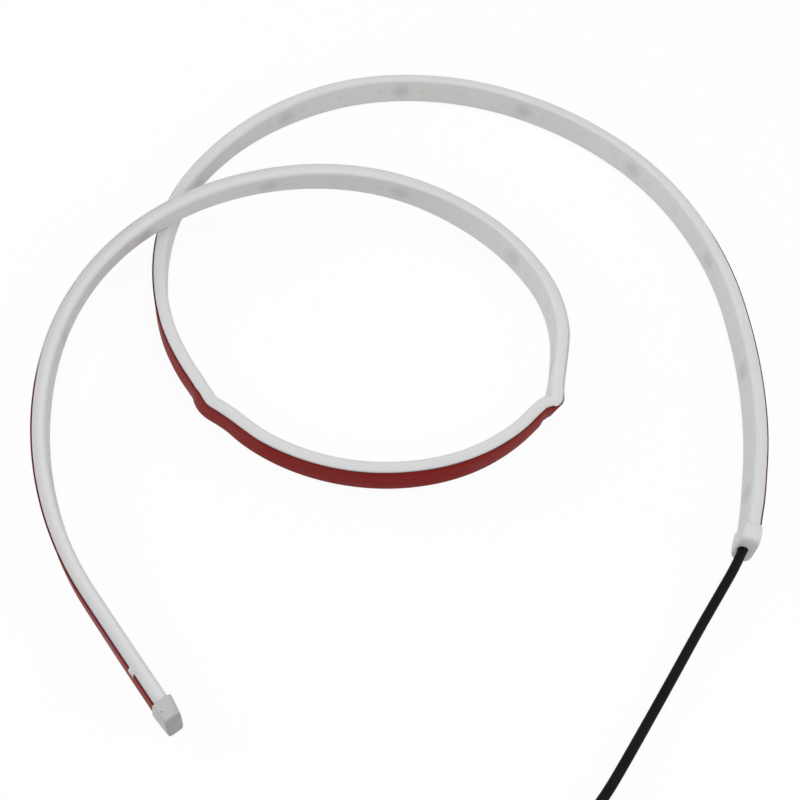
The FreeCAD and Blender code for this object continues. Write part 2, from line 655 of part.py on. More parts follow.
def cord_end(centre, bundle):
    """The cable's far end: a stub beside the coil, two tails and their tinned tips."""
    radius = size("coil_radius") + (size("coil_columns") - 1) / 2 * size("cord_diameter")
    begin = centre + Vector(0, -radius, size("cord_diameter") / 2)
    end = Vector(begin.x + size("stub_length"), begin.y, size("cord_diameter") / 2)
    along = end - begin
    whole = add("Part::Cylinder", "stub_whole", Radius="Sizes.cord_diameter / 2")
    whole.Height = along.Length
    whole.Placement = Placement(begin, Rotation(Vector(0, 0, 1), along))
    parts = [combine("Part::Cut", "stub", whole, bundle, "cord_end")]
    tips = []
    reach = size("tail_length")
    slope = (size("cord_diameter") - size("core_diameter")) / 2 / reach
    for name, side in (("tail_red", 1), ("tail_black", -1)):
        spread = math.radians(size("tail_spread")) * side
        level = Vector(math.cos(spread), math.sin(spread), 0)
        way = level - Vector(0, 0, slope)
        way.normalize()
        clear = size("core_diameter") / 2 * (abs(level.y) + slope)
        start = end + Vector(0, side * size("core_pitch") / 2, 0) + way * clear
        tail = add("Part::Cylinder", name, name, Radius="Sizes.core_diameter / 2",
                   Height="Sizes.tail_length")
        tail.Placement = Placement(start, Rotation(Vector(0, 0, 1), way))
        tip = add("Part::Cylinder", name + "_tip", Radius="Sizes.tip_diameter / 2",
                  Height="Sizes.tip_length")
        tip_start = start + way * (reach + size("tip_diameter") * slope)
        tip.Placement = Placement(tip_start, Rotation(Vector(0, 0, 1), level))
        parts.append(tail)
        tips.append(tip)
    return parts + [group("tinned_tips", tips)]


def build():
    """Every sub-part of the light."""
    cover = size("cap_cover")
    tape_first = cover + size("sealant_gap")
    tape_last = STRIP_LENGTH - cover - size("sealant_gap")
    parts = [sleeve()]
    parts.append(long_layer("flex_circuit", CIRCUIT_INNER, CIRCUIT_OUTER, "circuit_width", 0, STRIP_LENGTH))
    parts.append(long_layer("foam_tape", TAPE_INNER, TAPE_OUTER, "tape_width", tape_first, tape_last))
    parts.append(long_layer("release_liner", LINER_INNER, LINER_OUTER, "tape_width", tape_first, tape_last))
    parts += lights()
    parts.append(resistors())
    parts += cable_end(seat(cover, 0))
    turned = Placement(Vector(), Rotation(Vector(0, 1, 0), 180))
    parts += closed_end(seat(STRIP_LENGTH - cover, 0).multiply(turned))
    parts.append(smear())
    return parts + coil()


PARTS = build()
doc.recompute()
for item in doc.Objects:
    if "Invalid" in item.State or "Error" in item.State:
        raise RuntimeError("%s failed: %s" % (item.Label, item.State))
for item in PARTS:
    if item.Shape.isNull() or not item.Shape.isValid():
        raise RuntimeError("%s has no valid shape" % item.Label)
os.makedirs("parts", exist_ok=True)
for item in PARTS:
    item.Shape.exportStep("parts/%s.step" % item.Label)
    box = item.Shape.optimalBoundingBox(True, False)
    print(item.Label, len(item.Shape.Solids), "solids", round(item.Shape.Volume, 1), "mm3",
          [round(v, 2) for v in (box.XMin, box.YMin, box.ZMin, box.XMax, box.YMax, box.ZMax)])
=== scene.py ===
import math

import bmesh
import bpy
from mathutils import Matrix, Vector, noise


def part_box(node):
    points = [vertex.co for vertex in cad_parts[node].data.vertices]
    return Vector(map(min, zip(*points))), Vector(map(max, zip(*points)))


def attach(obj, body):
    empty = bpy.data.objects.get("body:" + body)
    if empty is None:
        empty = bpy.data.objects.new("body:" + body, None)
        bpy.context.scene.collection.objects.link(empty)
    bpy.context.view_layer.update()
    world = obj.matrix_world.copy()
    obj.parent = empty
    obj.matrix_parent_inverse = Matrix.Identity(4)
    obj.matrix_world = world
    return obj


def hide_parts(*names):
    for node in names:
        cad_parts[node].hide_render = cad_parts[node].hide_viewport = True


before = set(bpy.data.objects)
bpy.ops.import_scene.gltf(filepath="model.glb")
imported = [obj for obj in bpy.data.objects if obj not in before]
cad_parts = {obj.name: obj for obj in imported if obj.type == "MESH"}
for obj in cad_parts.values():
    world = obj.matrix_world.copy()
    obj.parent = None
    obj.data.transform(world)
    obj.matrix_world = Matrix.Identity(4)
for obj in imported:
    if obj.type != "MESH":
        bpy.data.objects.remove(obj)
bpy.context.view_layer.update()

bl_info = {
    "name": "Door warning strip light",
    "version": (1, 0, 0),
    "blender": (4, 5, 0),
    "location": "3D View > Sidebar > Strip Light",
    "description": "A flexible silicone strip light in a loose double loop, with its cable",
    "category": "Object",
}

MM = 0.001
BODY = "root"

# Strip route, seen from above: each bend has its radius and its turn in degrees
ROUTE_START = (116.43, -34.49)
ROUTE_HEADING = 90.0
FIRST_RUN = 26.5
STRIP_LENGTH = 1000.0
BENDS = (
    ("right_side", 217.0, 18.0),
    ("right_shoulder", 117.0, 24.5),
    ("back", 105.0, 121.0),
    ("left_shoulder", 77.0, 23.0),
    ("left_side", 104.0, 38.0),
    ("left_crease", 4.6, 15.0),
    ("front_left", 128.0, 11.0),
    ("front", 72.0, 81.5),
    ("right_swell", 7.47, -38.5),
    ("right_crease", 4.1, 67.0),
    ("inner_right", 325.0, 4.0),
    ("inner_shoulder", 41.0, 42.0),
    ("inner_back", 79.0, 61.5),
    ("inner_left", 106.0, 37.5),
    ("free_upper", 91.0, 41.0),
    ("free_side", 108.0, 43.5),
)
HINGE_STATION = 599.55
# Longest step between two points of the route, and largest turn in degrees
LONGEST_STEP = 1.25
LARGEST_TURN = 4.0
# Height of the sleeve as it stands on edge
SLEEVE_WIDTH = 10.5

# Height of the strip's lower edge: at the origin, and its slope along X and Y
LAID_PLANE = (0.577, 0.003209, -0.003209)
RAISED_PLANE = (3.714, -0.063877, 0.043489)

# How the strip lies: station, sideways shift outwards, outward lean of its upper edge in degrees
LAY = (
    (0, -1.35, 0.0), (4, -0.95, 0.0), (8, -0.6, 0.6), (13, -0.2, 2.0), (20, 0.05, 3.5), (40, 0.32, 5.2),
    (65, 0.13, 3.9), (90, -0.11, 2.3),
    (115, -0.12, 0.9), (140, 0.02, 2.3), (165, -0.01, 4.6), (190, -0.36, 5.6), (215, -0.43, 5.2),
    (240, -0.07, 7.4), (265, 0.21, 8.2), (290, 0.45, 8.3), (315, 0.02, 3.4), (340, -0.13, -4.5),
    (365, -0.14, -6.4), (390, 0.18, 0.9), (415, 0.41, 1.5), (440, 0.08, -0.1), (452, -0.73, -0.9),
    (459, -1.35, -0.5), (463, -1.75, 0.0), (465.8, -1.86, 0.0), (466.9, -1.72, -1.0), (468.2, -1.36, -3.5),
    (470, -0.86, -5.5), (471.6, -0.48, -4.0), (474, -0.2, 1.0), (477.5, -0.65, 2.0), (482, -0.9, 1.5),
    (488, -0.5, -1.0), (494, -0.2, 0.0),
    (505, -0.12, -1.2), (525, -0.08, -2.7), (545, 0.06, -5.6), (565, 0.39, -5.6), (585, 0.35, -4.0),
    (592, 0.2, -5.0), (595.5, 0.2, -4.0), (598.5, -0.75, 2.0), (600.7, -1.3, 6.5), (602.5, -0.8, 10.0),
    (604.5, -0.7, 9.0), (609, -0.68, 0.0),
    (618, -0.55, -2.3), (628, -0.69, 1.7), (640, -1.09, 3.4), (655, -1.08, 5.7), (675, -0.86, 9.6),
    (695, -1.01, 7.7), (715, -0.75, -0.1), (735, -0.22, -4.9), (755, 0.34, -8.3), (775, 0.61, -11.5),
    (795, 0.77, -12.9), (815, 0.67, -13.8), (835, 0.46, -12.8), (855, 0.09, -9.4), (875, -0.3, -4.3),
    (895, -0.55, -1.0), (915, -0.54, 0.4), (935, -0.39, 1.2), (955, -0.15, 0.2), (975, -0.2, -0.8),
    (985, -0.3, -1.2), (995, -0.42, -1.2), (1000, -0.45, -1.2),
)

# Stations of the two cap mouths
CABLE_MOUTH = 3.2
CLOSED_MOUTH = 995.5
# Tape and liner: clearance to the mouths, gap under each layer, rounding of their edges
MOUTH_GAP = 0.15
LAYER_GAP = 0.05
TAPE_CORNER = 0.03 * MM
# Cap sections from the pocket's bottom over the mouth to the end: distance from the mouth, reach to
# the light side, to the tape side, down and up, squareness, slant
CLOSED_CAP = (
    (4.6, 2.2, 2.2, 5.35, 5.35, 8, 0), (0.25, 2.2, 2.2, 5.35, 5.35, 8, 0), (0.0, 2.4, 2.4, 5.6, 5.6, 8, 0),
    (0.05, 2.85, 2.85, 6.1, 6.1, 7, 0), (0.3, 3.0, 3.05, 6.25, 6.25, 7, 0),
    (1.5, 2.95, 3.05, 6.25, 6.25, 7, 0.02), (3.2, 2.8, 2.95, 6.2, 6.15, 6.5, 0.07),
    (4.8, 2.62, 2.8, 6.1, 6.0, 6.5, 0.12),
    (6.2, 2.48, 2.65, 6.0, 5.75, 6, 0.16), (6.9, 2.38, 2.56, 5.9, 5.6, 6, 0.18),
    (7.12, 2.25, 2.4, 5.7, 5.4, 5.5, 0.18), (7.2, 1.9, 2.1, 5.3, 5.0, 5, 0.18),
)
CABLE_CAP = (
    (5.4, 2.2, 2.2, 5.35, 5.35, 8, 0), (0.25, 2.2, 2.2, 5.35, 5.35, 8, 0), (0.0, 2.5, 2.4, 5.6, 5.6, 8, 0),
    (0.05, 2.75, 2.9, 6.0, 6.0, 7, 0), (0.4, 2.95, 3.2, 6.2, 6.2, 6, 0),
    (2.0, 3.2, 3.45, 6.2, 6.25, 5.5, 0.03), (4.2, 3.35, 3.5, 6.15, 6.15, 5, 0.1),
    (5.6, 3.35, 3.45, 6.1, 6.0, 4.6, 0.15),
    (6.3, 3.3, 3.4, 6.05, 5.8, 4.3, 0.17), (6.8, 3.2, 3.3, 5.95, 5.5, 4.0, 0.18),
    (7.15, 3.05, 3.15, 5.8, 5.1, 3.8, 0.18), (7.35, 2.9, 2.9, 5.5, 4.6, 3.6, 0.18),
    (7.42, 2.6, 1.4, 2.6, 2.2, 2.4, 0.18), (7.4, 2.5, 1.02, 2.0, 1.6, 2.2, 0.18),
    (7.2, 2.4, 0.9, 1.85, 1.45, 2, 0.18), (6.2, 2.4, 0.9, 1.85, 1.45, 2, 0.18),
)
END_SLANT = 0.18
CABLE_CAP_LEAN = -3.5
CAP_POINTS = 72
CAP_UNEVENNESS = 0.02
# Distance from the mouth over which a cap's tone passes to the painted shade of its end
CAP_SHADE = (6.0, 7.3)
# A dark speck on the closed cap: its place, and the two radii between which it fades
SPECK = (-47.87, -134.04, 12.39)
SPECK_FADE = (0.12, 0.3)
# Sealant at the bottom of each cap's pocket: distance from there, half thickness, half height
SEALANT_PLUG = ((-0.8, 1.2, 4.4), (-0.65, 2.05, 5.2), (-0.1, 2.1, 5.25), (-0.05, 1.9, 5.0))

# Runs where a film of silicone lies over the tape's upper edge: how each begins and ends, in metres
SEALED_RUNS = (((0.118, 0.126), (0.396, 0.402)), ((0.599, 0.603), (0.868, 0.885)))

# Sealant smear: station, half length, rings along it, thickness, depth of its root, and its path over the
# tape's edge, sideways and up
SMEAR_STATION = 984.2
SMEAR_HALF = 1.3
SMEAR_RINGS = 15
SMEAR_THICKNESS = 0.4
SMEAR_ROOT = 0.04
SMEAR_PATH = ((1.4, 5.2), (1.7, 5.14), (1.95, 5.0), (2.3, 4.75), (2.6, 4.5), (2.62, 4.0), (2.62, 3.4),
              (2.62, 2.7), (2.62, 2.0))

# Cable route, its middle line
CABLE_POINTS = (
    (114.5, -37.2, 6.1), (112.4, -43.8, 6.1), (108.7, -53.1, 4.6), (102.8, -67.5, 2.6),
    (95.4, -86.1, 1.6), (86.8, -106.8, 1.6), (77.7, -128.0, 1.6),
)
# Coil: where its turns begin in degrees, control points in a turn, the turns by column inwards and layer up,
# and the way out by degrees, columns outwards and layers up
COIL_ENTRY = 150.0
POINTS_PER_TURN = 16
COIL_TURNS = ((0, 0), (1, 0), (2, 0), (3, 0), (3, 1), (2, 1), (1, 1), (0, 1), (0, 2))
COIL_EXIT = ((20, 0.0, 2.0), (40, 0.5, 1.9), (60, 1.1, 1.6), (82, 1.25, 0.9), (104, 1.25, 0.1))

# Cable tie: steps round the turns, gap to them, and its head by height, half thickness and half width
TIE_STEPS = 96
TIE_GAP = 0.05
TIE_EDGE = 0.15
TIE_HEAD_REACH = 0.9
TIE_HEAD = ((-2.2, 0.9, 2.3), (-2.0, 1.3, 2.7), (1.9, 1.3, 2.7), (2.2, 0.9, 2.3), (2.2, 0.35, 1.9),
            (3.4, 0.3, 1.9))

# Bare end: steps along each core, and the twist of its tinned strands round the middle one
TAIL_STEPS = 18
STRAND_COUNT = 7
STRAND_RADIUS = 0.11
STRAND_REACH = 0.22
STRAND_STEPS = 12
STRAND_STEP = 0.5
STRAND_ROOT = 0.6
STRAND_TWIST = 0.35

# Circuit: its face outwards from the sleeve's middle, distance to the strip's ends, rounding of its edges
CIRCUIT_FACE = 1.0
CIRCUIT_INSET = 1.0
CIRCUIT_CORNER = 0.02 * MM
# Parts on it: gap under them, and their height off it, width across the strip and length along it
PART_GAP = 0.01
LIGHT_SIZE = (0.65, 2.8, 3.5)
WINDOW_SIZE = (0.12, 2.2, 2.2)
WINDOW_LIFT = 0.66
RESISTOR_SIZE = (0.5, 1.25, 2.0)

# How far past their even pitch the parts behind the face show, and where that grows and fades, in metres
SHOWN_LATE = 5.7 * MM
LATE_GROWS = (0.116, 0.3)
LATE_FADES = (0.35, 0.6)
# Share of the dark tape that shows through the sleeve's back, and the run in metres over which it grows
BACKING_SHARES = (0.05, 0.22)
BACKING_RUN = (0.7, 0.86)

# Points nearer than this are joined, and edges sharper than this stay hard
JOIN_DISTANCE = 0.002 * MM
HARD_ANGLE = math.radians(40)

# Camera: place, sensor and lens in millimetres, pitch below level and roll in degrees
CAMERA_PLACE = (-5.27, -207.19, 320.0)
CAMERA_SENSOR = 36.0
CAMERA_LENS = 49.5
CAMERA_PITCH = 58.5
CAMERA_ROLL = 14.0
# Softboxes: name, place and size in metres, power in watts
SOFTBOXES = (
    ("softbox_top", (0.0, 0.0, 1.1), 0.9, 4.0), ("softbox_left", (-1.0, 0.1, 0.35), 0.8, 3.6),
    ("softbox_right", (1.0, 0.1, 0.6), 0.8, 2.1), ("softbox_front", (0.0, -0.9, 0.9), 0.8, 2.7),
)
WHITE = (1, 1, 1, 1)
WORLD_LIGHT = 0.36
WORLD_SEEN = 1.0
FLOOR_GLOW = 1.045
FLOOR_GLOW_SHARE = 0.88
FLOOR_HALF = 3.0
FLOOR_DROP = 0.3


def length_property(name, description, default, low, high):
    """One size of the object, given in millimetres."""
    return bpy.props.FloatProperty(
        name=name, description=description, default=default * MM, min=low * MM, max=high * MM,
        unit="LENGTH", subtype="DISTANCE")


class StripSizes(bpy.types.PropertyGroup):
    """Sizes of the strip, its tape, its circuit and its cable"""
    sleeve_width: length_property("Sleeve width", "Height of the sleeve on edge", SLEEVE_WIDTH, 4, 30)
    sleeve_thickness: length_property("Sleeve thickness", "Thickness of the silicone sleeve", 4.2, 1, 15)
    light_corner: length_property("Light side rounding", "Edges beside the light face", 1.2, 0.1, 2)
    back_corner: length_property("Back rounding", "Edges beside the tape", 0.8, 0.05, 2)
    tape_width: length_property("Tape width", "Width of the foam tape and its liner", 9.2, 2, 30)
    tape_thickness: length_property("Tape thickness", "Thickness of the foam tape", 0.25, 0.1, 3)
    liner_thickness: length_property("Liner thickness", "Thickness of the red film", 0.12, 0.02, 1)
    light_pitch: length_property("Light pitch", "From one light to the next", 16.667, 3, 100)
    cut_length: length_property("Cut length", "From one resistor to the next", 50.0, 10, 200)
    circuit_width: length_property("Circuit width", "Width of the flexible circuit", 8.0, 2, 30)
    circuit_thickness: length_property("Circuit thickness", "Thickness of the circuit", 0.25, 0.05, 2)
    cable_diameter: length_property("Cable diameter", "Diameter of the black cable", 3.1, 1, 10)
    tail_diameter: length_property("Tail diameter", "Each core at the bare end", 1.0, 0.3, 3)
    tie_width: length_property("Tie width", "Width of the nylon tie round the coil", 4.0, 1, 12)
    tie_thickness: length_property("Tie thickness", "Thickness of the nylon tie", 0.65, 0.2, 3)


def colour_property(name, description, default):
    """One colour of the object, linear."""
    return bpy.props.FloatVectorProperty(
        name=name, description=description, default=default, size=3, min=0.0, max=1.0,
        subtype="COLOR")


class StripColours(bpy.types.PropertyGroup):
    """Colours of the strip, its tape and its cable"""
    silicone: colour_property("Silicone", "Milk-white sleeve", (0.735, 0.735, 0.737))
    part_shadow: colour_property("Part shadow", "Resistors seen through the sleeve", (0.38, 0.38, 0.38))
    light_dot: colour_property("Light dot", "Lights seen through the sleeve", (0.68, 0.64, 0.49))
    foam: colour_property("Foam", "Dark foam tape", (0.055, 0.008, 0.012))
    # Painted reflection: the liner's red on the outer part of the foam tape's edge
    foam_edge: colour_property("Foam edge", "Outer part of the tape's edge", (0.13, 0.02, 0.02))
    liner: colour_property("Liner", "Red film on the tape", (0.235, 0.011, 0.009))
    cap: colour_property("Cable cap", "White moulded cap at the cable", (0.70, 0.70, 0.695))
    closed_cap: colour_property("Closed cap", "Greyer moulded cap at the closed end", (0.51, 0.51, 0.505))
    smear: colour_property("Smear", "Sealant on the tape", (0.61, 0.595, 0.595))
    cable: colour_property("Cable", "Black cable jacket", (0.0055, 0.0058, 0.0065))
    tie: colour_property("Tie", "Nylon cable tie", (0.02, 0.02, 0.021))
    red_core: colour_property("Red core", "Red insulated core", (0.42, 0.012, 0.012))
    black_core: colour_property("Black core", "Black insulated core", (0.014, 0.014, 0.015))
    tinned: colour_property("Tinned copper", "Bare wire ends and solder", (0.62, 0.62, 0.63))
    circuit: colour_property("Circuit", "White flexible circuit", (0.7, 0.7, 0.68))
    package: colour_property("Light package", "Housing of each light", (0.75, 0.74, 0.7))
    phosphor: colour_property("Phosphor", "Yellow window of each light", (0.72, 0.55, 0.06))
    resistor: colour_property("Resistor", "Chip resistors", (0.03, 0.03, 0.035))
    floor: colour_property("Floor", "Plain pale floor", (0.72, 0.72, 0.72))


class NodeSketch:
    """Adds nodes to a tree and links or sets their inputs."""

    def __init__(self, tree):
        self.tree = tree

    def add(self, kind, inputs=None, **settings):
        node = self.tree.nodes.new(kind)
        for key, value in settings.items():
            setattr(node, key, value)
        for key, value in (inputs or {}).items():
            if isinstance(value, bpy.types.NodeSocket):
                self.tree.links.new(value, node.inputs[key])
            else:
                node.inputs[key].default_value = value
        return node

    def maths(self, operation, first, second=0.0):
        return self.add("ShaderNodeMath", {0: first, 1: second}, operation=operation).outputs[0]

    def times(self, first, second):
        return self.maths("MULTIPLY", first, second)

    def attribute(self, name, output="Fac"):
        return self.add("ShaderNodeAttribute", attribute_name=name).outputs[output]

    def ramp(self, value, low, high, start=0.0, end=1.0):
        node = self.add("ShaderNodeMapRange", {
            "Value": value, "From Min": low, "From Max": high, "To Min": start, "To Max": end},
            interpolation_type="SMOOTHSTEP")
        return node.outputs["Result"]

    def blend(self, share, first, second):
        node = self.add("ShaderNodeMix", {"Factor": share}, data_type="RGBA")
        for socket, value in ((node.inputs[6], first), (node.inputs[7], second)):
            if isinstance(value, bpy.types.NodeSocket):
                self.tree.links.new(value, socket)
            else:
                socket.default_value = value
        return node.outputs[2]

    def grain(self, place, scale, detail=3.0):
        node = self.add("ShaderNodeTexNoise", {"Vector": place, "Scale": scale, "Detail": detail})
        return node.outputs["Fac"]

    def spread(self, grain, low, high):
        """Stretches a grain's usual range between two values."""
        return self.ramp(grain, 0.3, 0.7, low, high)


def rgba(colour, factor=1.0):
    """A colour with alpha, made lighter or darker by a factor."""
    return tuple(min(1.0, c * factor) for c in colour) + (1.0,)


def start_material(name, roughness, **inputs):
    """A new material with one shader; returns it, its sketch, its shader and Object coordinates."""
    material = bpy.data.materials.new(name)
    material.use_nodes = True
    material.node_tree.nodes.clear()
    sketch = NodeSketch(material.node_tree)
    shader = sketch.add("ShaderNodeBsdfPrincipled", {"Roughness": roughness, **inputs})
    output = sketch.add("ShaderNodeOutputMaterial")
    material.node_tree.links.new(shader.outputs["BSDF"], output.inputs["Surface"])
    place = sketch.add("ShaderNodeTexCoord").outputs["Object"]
    return material, sketch, shader, place


def join(sketch, value, shader, name):
    sketch.tree.links.new(value, shader.inputs[name])


def add_bump(sketch, shader, height, strength, distance):
    bump = sketch.add("ShaderNodeBump", {"Height": height, "Strength": strength, "Distance": distance})
    sketch.tree.links.new(bump.outputs["Normal"], shader.inputs["Normal"])


def mottled(name, colour, roughness, scale, spread=0.08, bump=0.15, depth=0.05 * MM, **inputs):
    """A moulded or coated finish: slight colour drift, uneven gloss and a fine texture."""
    material, sketch, shader, place = start_material(name, roughness, **inputs)
    drift = sketch.grain(place, scale)
    fine = sketch.grain(place, scale * 7.0, 5.0)
    join(sketch, sketch.blend(drift, rgba(colour, 1.0 - spread), rgba(colour, 1.0 + spread)),
         shader, "Base Color")
    join(sketch, sketch.spread(drift, roughness - 0.06, roughness + 0.06), shader, "Roughness")
    add_bump(sketch, shader, fine, bump, depth)
    return material


def silicone_finish(sizes, colours):
    """Milky silicone: lights and resistors show faintly through its face, the tape through its back."""
    material, sketch, shader, place = start_material("milky_silicone", 0.5, IOR=1.41)
    along = sketch.attribute("along")
    parts = sketch.add("ShaderNodeSeparateXYZ", {"Vector": sketch.attribute("section", "Vector")})
    depth, height = parts.outputs["X"], parts.outputs["Y"]
    half = sizes.sleeve_thickness / 2
    face = sketch.ramp(depth, -half, -half + 0.8 * MM, 1.0, 0.0)

    def late(first, last):
        return sketch.add("ShaderNodeMapRange", {
            "Value": along, "From Min": first, "From Max": last, "To Min": 0.0,
            "To Max": SHOWN_LATE}).outputs["Result"]

    shown = sketch.maths("ADD", sketch.maths("SUBTRACT", along, late(*LATE_GROWS)), late(*LATE_FADES))

    def row_distance(pitch, first):
        start = sketch.maths("SUBTRACT", shown, first - pitch / 2)
        turns = sketch.maths("FRACT", sketch.maths("DIVIDE", start, pitch))
        return sketch.times(sketch.maths("ABSOLUTE", sketch.maths("SUBTRACT", turns, 0.5)), pitch)

    def spot(distance, stretch, inner, outer):
        flat = sketch.times(distance, stretch)
        radius = sketch.maths("SQRT", sketch.maths("ADD", sketch.maths("POWER", flat, 2.0),
                                                   sketch.maths("POWER", height, 2.0)))
        return sketch.ramp(radius, inner, outer, 1.0, 0.0)

    lights = spot(row_distance(sizes.light_pitch, sizes.light_pitch / 2),
                  stretch=1.0, inner=0.3 * MM, outer=2.2 * MM)
    shadows = spot(row_distance(sizes.cut_length, sizes.light_pitch),
                   stretch=0.8, inner=0.5 * MM, outer=4.6 * MM)
    drift = sketch.grain(place, 45.0)
    tone = sketch.blend(drift, rgba(colours.silicone, 0.97), rgba(colours.silicone, 1.03))
    backing = sketch.times(sketch.ramp(depth, -0.8 * MM, half),
                           sketch.ramp(along, *BACKING_RUN, *BACKING_SHARES))
    backed = sketch.blend(backing, tone, rgba(colours.foam))
    shaded = sketch.blend(sketch.times(sketch.times(shadows, face), 0.35), backed, rgba(colours.part_shadow))
    dotted = sketch.blend(sketch.times(sketch.times(lights, face), 0.45), shaded, rgba(colours.light_dot))
    join(sketch, dotted, shader, "Base Color")
    lengthways = sketch.add("ShaderNodeCombineXYZ", {
        "X": sketch.times(along, 30.0), "Y": sketch.times(height, 900.0),
        "Z": sketch.times(depth, 900.0)}).outputs["Vector"]
    drawn = sketch.grain(lengthways, 1.0)
    speck = sketch.grain(place, 900.0, 4.0)
    join(sketch, sketch.spread(drawn, 0.44, 0.58), shader, "Roughness")
    add_bump(sketch, shader, sketch.maths("ADD", drawn, sketch.times(speck, 0.5)), 0.12, 0.05 * MM)
    return material


def cap_finish(name, colour, end_shade_share, speck=None):
    """Moulded plastic with painted shade that darkens it towards the cap's end face."""
    material, sketch, shader, place = start_material(name, 0.5)
    depth = sketch.attribute("toward_end")
    drift = sketch.grain(place, 160.0)
    fine = sketch.grain(place, 1200.0, 5.0)
    tone = sketch.blend(drift, rgba(colour, 0.95), rgba(colour, 1.05))
    # Painted shade: the cap's colour darkens towards its end face, as if that end were less lit
    shade = sketch.blend(sketch.ramp(depth, *CAP_SHADE), tone, rgba(colour, end_shade_share))
    if speck:
        spot = sketch.add("ShaderNodeVectorMath", {0: place, 1: Vector(speck) * MM}, operation="DISTANCE")
        inner, outer = (radius * MM for radius in SPECK_FADE)
        shade = sketch.blend(sketch.ramp(spot.outputs["Value"], inner, outer, 0.85, 0.0), shade,
                             rgba(colour, 0.1))
    join(sketch, shade, shader, "Base Color")
    join(sketch, sketch.spread(drift, 0.44, 0.56), shader, "Roughness")
    add_bump(sketch, shader, fine, 0.2, 0.05 * MM)
    return material


def sealed_edge(sketch, height, half_width):
    """1 where a thin film of silicone lies over the tape's upper edge."""
    along = sketch.attribute("along")
    on_edge = sketch.ramp(height, 0.12 * MM - half_width, 0.02 * MM - half_width)
    covered = [sketch.maths("SUBTRACT", sketch.ramp(along, *first), sketch.ramp(along, *last))
               for first, last in SEALED_RUNS]
    return sketch.times(on_edge, sketch.maths("ADD", *covered))


def foam_finish(sizes, colours):
    """Foam tape: dark where it meets the silicone, with a painted red reflection of the liner on its outer
    side.
    """
    material, sketch, shader, place = start_material("dark_foam", 0.8, **{"Specular IOR Level": 0.2})
    spot = sketch.add("ShaderNodeSeparateXYZ", {"Vector": sketch.attribute("section", "Vector")}).outputs
    inner = sizes.sleeve_thickness / 2
    # Painted reflection: towards the liner, the foam's edge takes the liner's red
    outside = sketch.ramp(spot["X"], inner + 0.1 * MM, inner + sizes.tape_thickness)
    cells = sketch.grain(place, 1500.0, 4.0)
    dark = sketch.blend(cells, rgba(colours.foam, 0.7), rgba(colours.foam, 1.3))
    tone = sketch.blend(outside, dark, rgba(colours.foam_edge))
    sealed = sealed_edge(sketch, spot["Y"], sizes.tape_width / 2)
    join(sketch, sketch.blend(sealed, tone, rgba(colours.silicone)), shader, "Base Color")
    join(sketch, sketch.spread(cells, 0.72, 0.9), shader, "Roughness")
    add_bump(sketch, shader, cells, 0.4, 0.1 * MM)
    return material


def liner_finish(sizes, colours):
    """Red release film with a slight drift of colour and gloss."""
    material, sketch, shader, place = start_material("red_liner", 0.7, **{"Specular IOR Level": 0.1})
    spot = sketch.add("ShaderNodeSeparateXYZ", {"Vector": sketch.attribute("section", "Vector")}).outputs
    drift = sketch.grain(place, 60.0)
    tone = sketch.blend(drift, rgba(colours.liner, 0.9), rgba(colours.liner, 1.1))
    sealed = sealed_edge(sketch, spot["Y"], sizes.tape_width / 2)
    join(sketch, sketch.blend(sealed, tone, rgba(colours.silicone)), shader, "Base Color")
    join(sketch, sketch.spread(drift, 0.5, 0.62), shader, "Roughness")
    add_bump(sketch, shader, sketch.grain(place, 420.0, 5.0), 0.05, 0.05 * MM)
    return material


def finishes(context):
    """The object's materials by slot, made once."""
    ready = {m.name: m for m in bpy.data.materials}
    sizes, colours = context.scene.strip_light_sizes, context.scene.strip_light_colours
    dull = {"Specular IOR Level": 0.06}
    makers = {
        "milky_silicone": lambda: silicone_finish(sizes, colours),
        "dark_foam": lambda: foam_finish(sizes, colours),
        "red_liner": lambda: liner_finish(sizes, colours),
        # The number after each cap's colour is the share of that colour left in the painted shade at the
        # cap's end
        "moulded_white": lambda: cap_finish("moulded_white", colours.cap, 0.84),
        "moulded_grey": lambda: cap_finish("moulded_grey", colours.closed_cap, 0.68, SPECK),
        "white_sealant": lambda: mottled("white_sealant", colours.smear, 0.55, 500.0, 0.12, 0.3),
        "black_jacket": lambda: mottled("black_jacket", colours.cable, 0.5, 350.0, 0.2, 0.15, **dull),
        "black_nylon": lambda: mottled("black_nylon", colours.tie, 0.4, 300.0, 0.2, 0.15),
        "red_insulation": lambda: mottled("red_insulation", colours.red_core, 0.42, 300.0),
        "black_insulation": lambda: mottled("black_insulation", colours.black_core, 0.42, 300.0, 0.2),
        "tinned_copper": lambda: mottled(
            "tinned_copper", colours.tinned, 0.32, 900.0, 0.1, 0.3, Metallic=1.0),
        "white_circuit": lambda: mottled("white_circuit", colours.circuit, 0.4, 200.0),
        "light_package": lambda: mottled("light_package", colours.package, 0.4, 500.0),
        "yellow_phosphor": lambda: mottled("yellow_phosphor", colours.phosphor, 0.35, 900.0, 0.15),
        "chip_resistor": lambda: mottled("chip_resistor", colours.resistor, 0.35, 700.0, 0.2),
    }
    return {name: ready.get(name) or make() for name, make in makers.items()}


def finish_piece(context, piece, slot, *nodes):
    """Links a piece, lets it ride on the body and hides the parts it stands for; its slot is not used."""
    if piece.name not in context.scene.collection.objects:
        context.scene.collection.objects.link(piece)
    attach(piece, BODY)
    if nodes:
        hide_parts(*nodes)


def mesh_piece(name, work, material):
    """A mesh object from a bmesh, with outward faces, smooth but for its sharp edges."""
    bmesh.ops.remove_doubles(work, verts=work.verts, dist=JOIN_DISTANCE)
    bmesh.ops.recalc_face_normals(work, faces=work.faces)
    for face in work.faces:
        face.smooth = True
    for edge in work.edges:
        edge.smooth = len(edge.link_faces) == 2 and edge.calc_face_angle() < HARD_ANGLE
    mesh = bpy.data.meshes.new(name)
    work.to_mesh(mesh)
    work.free()
    mesh.materials.append(material)
    return bpy.data.objects.new(name, mesh)


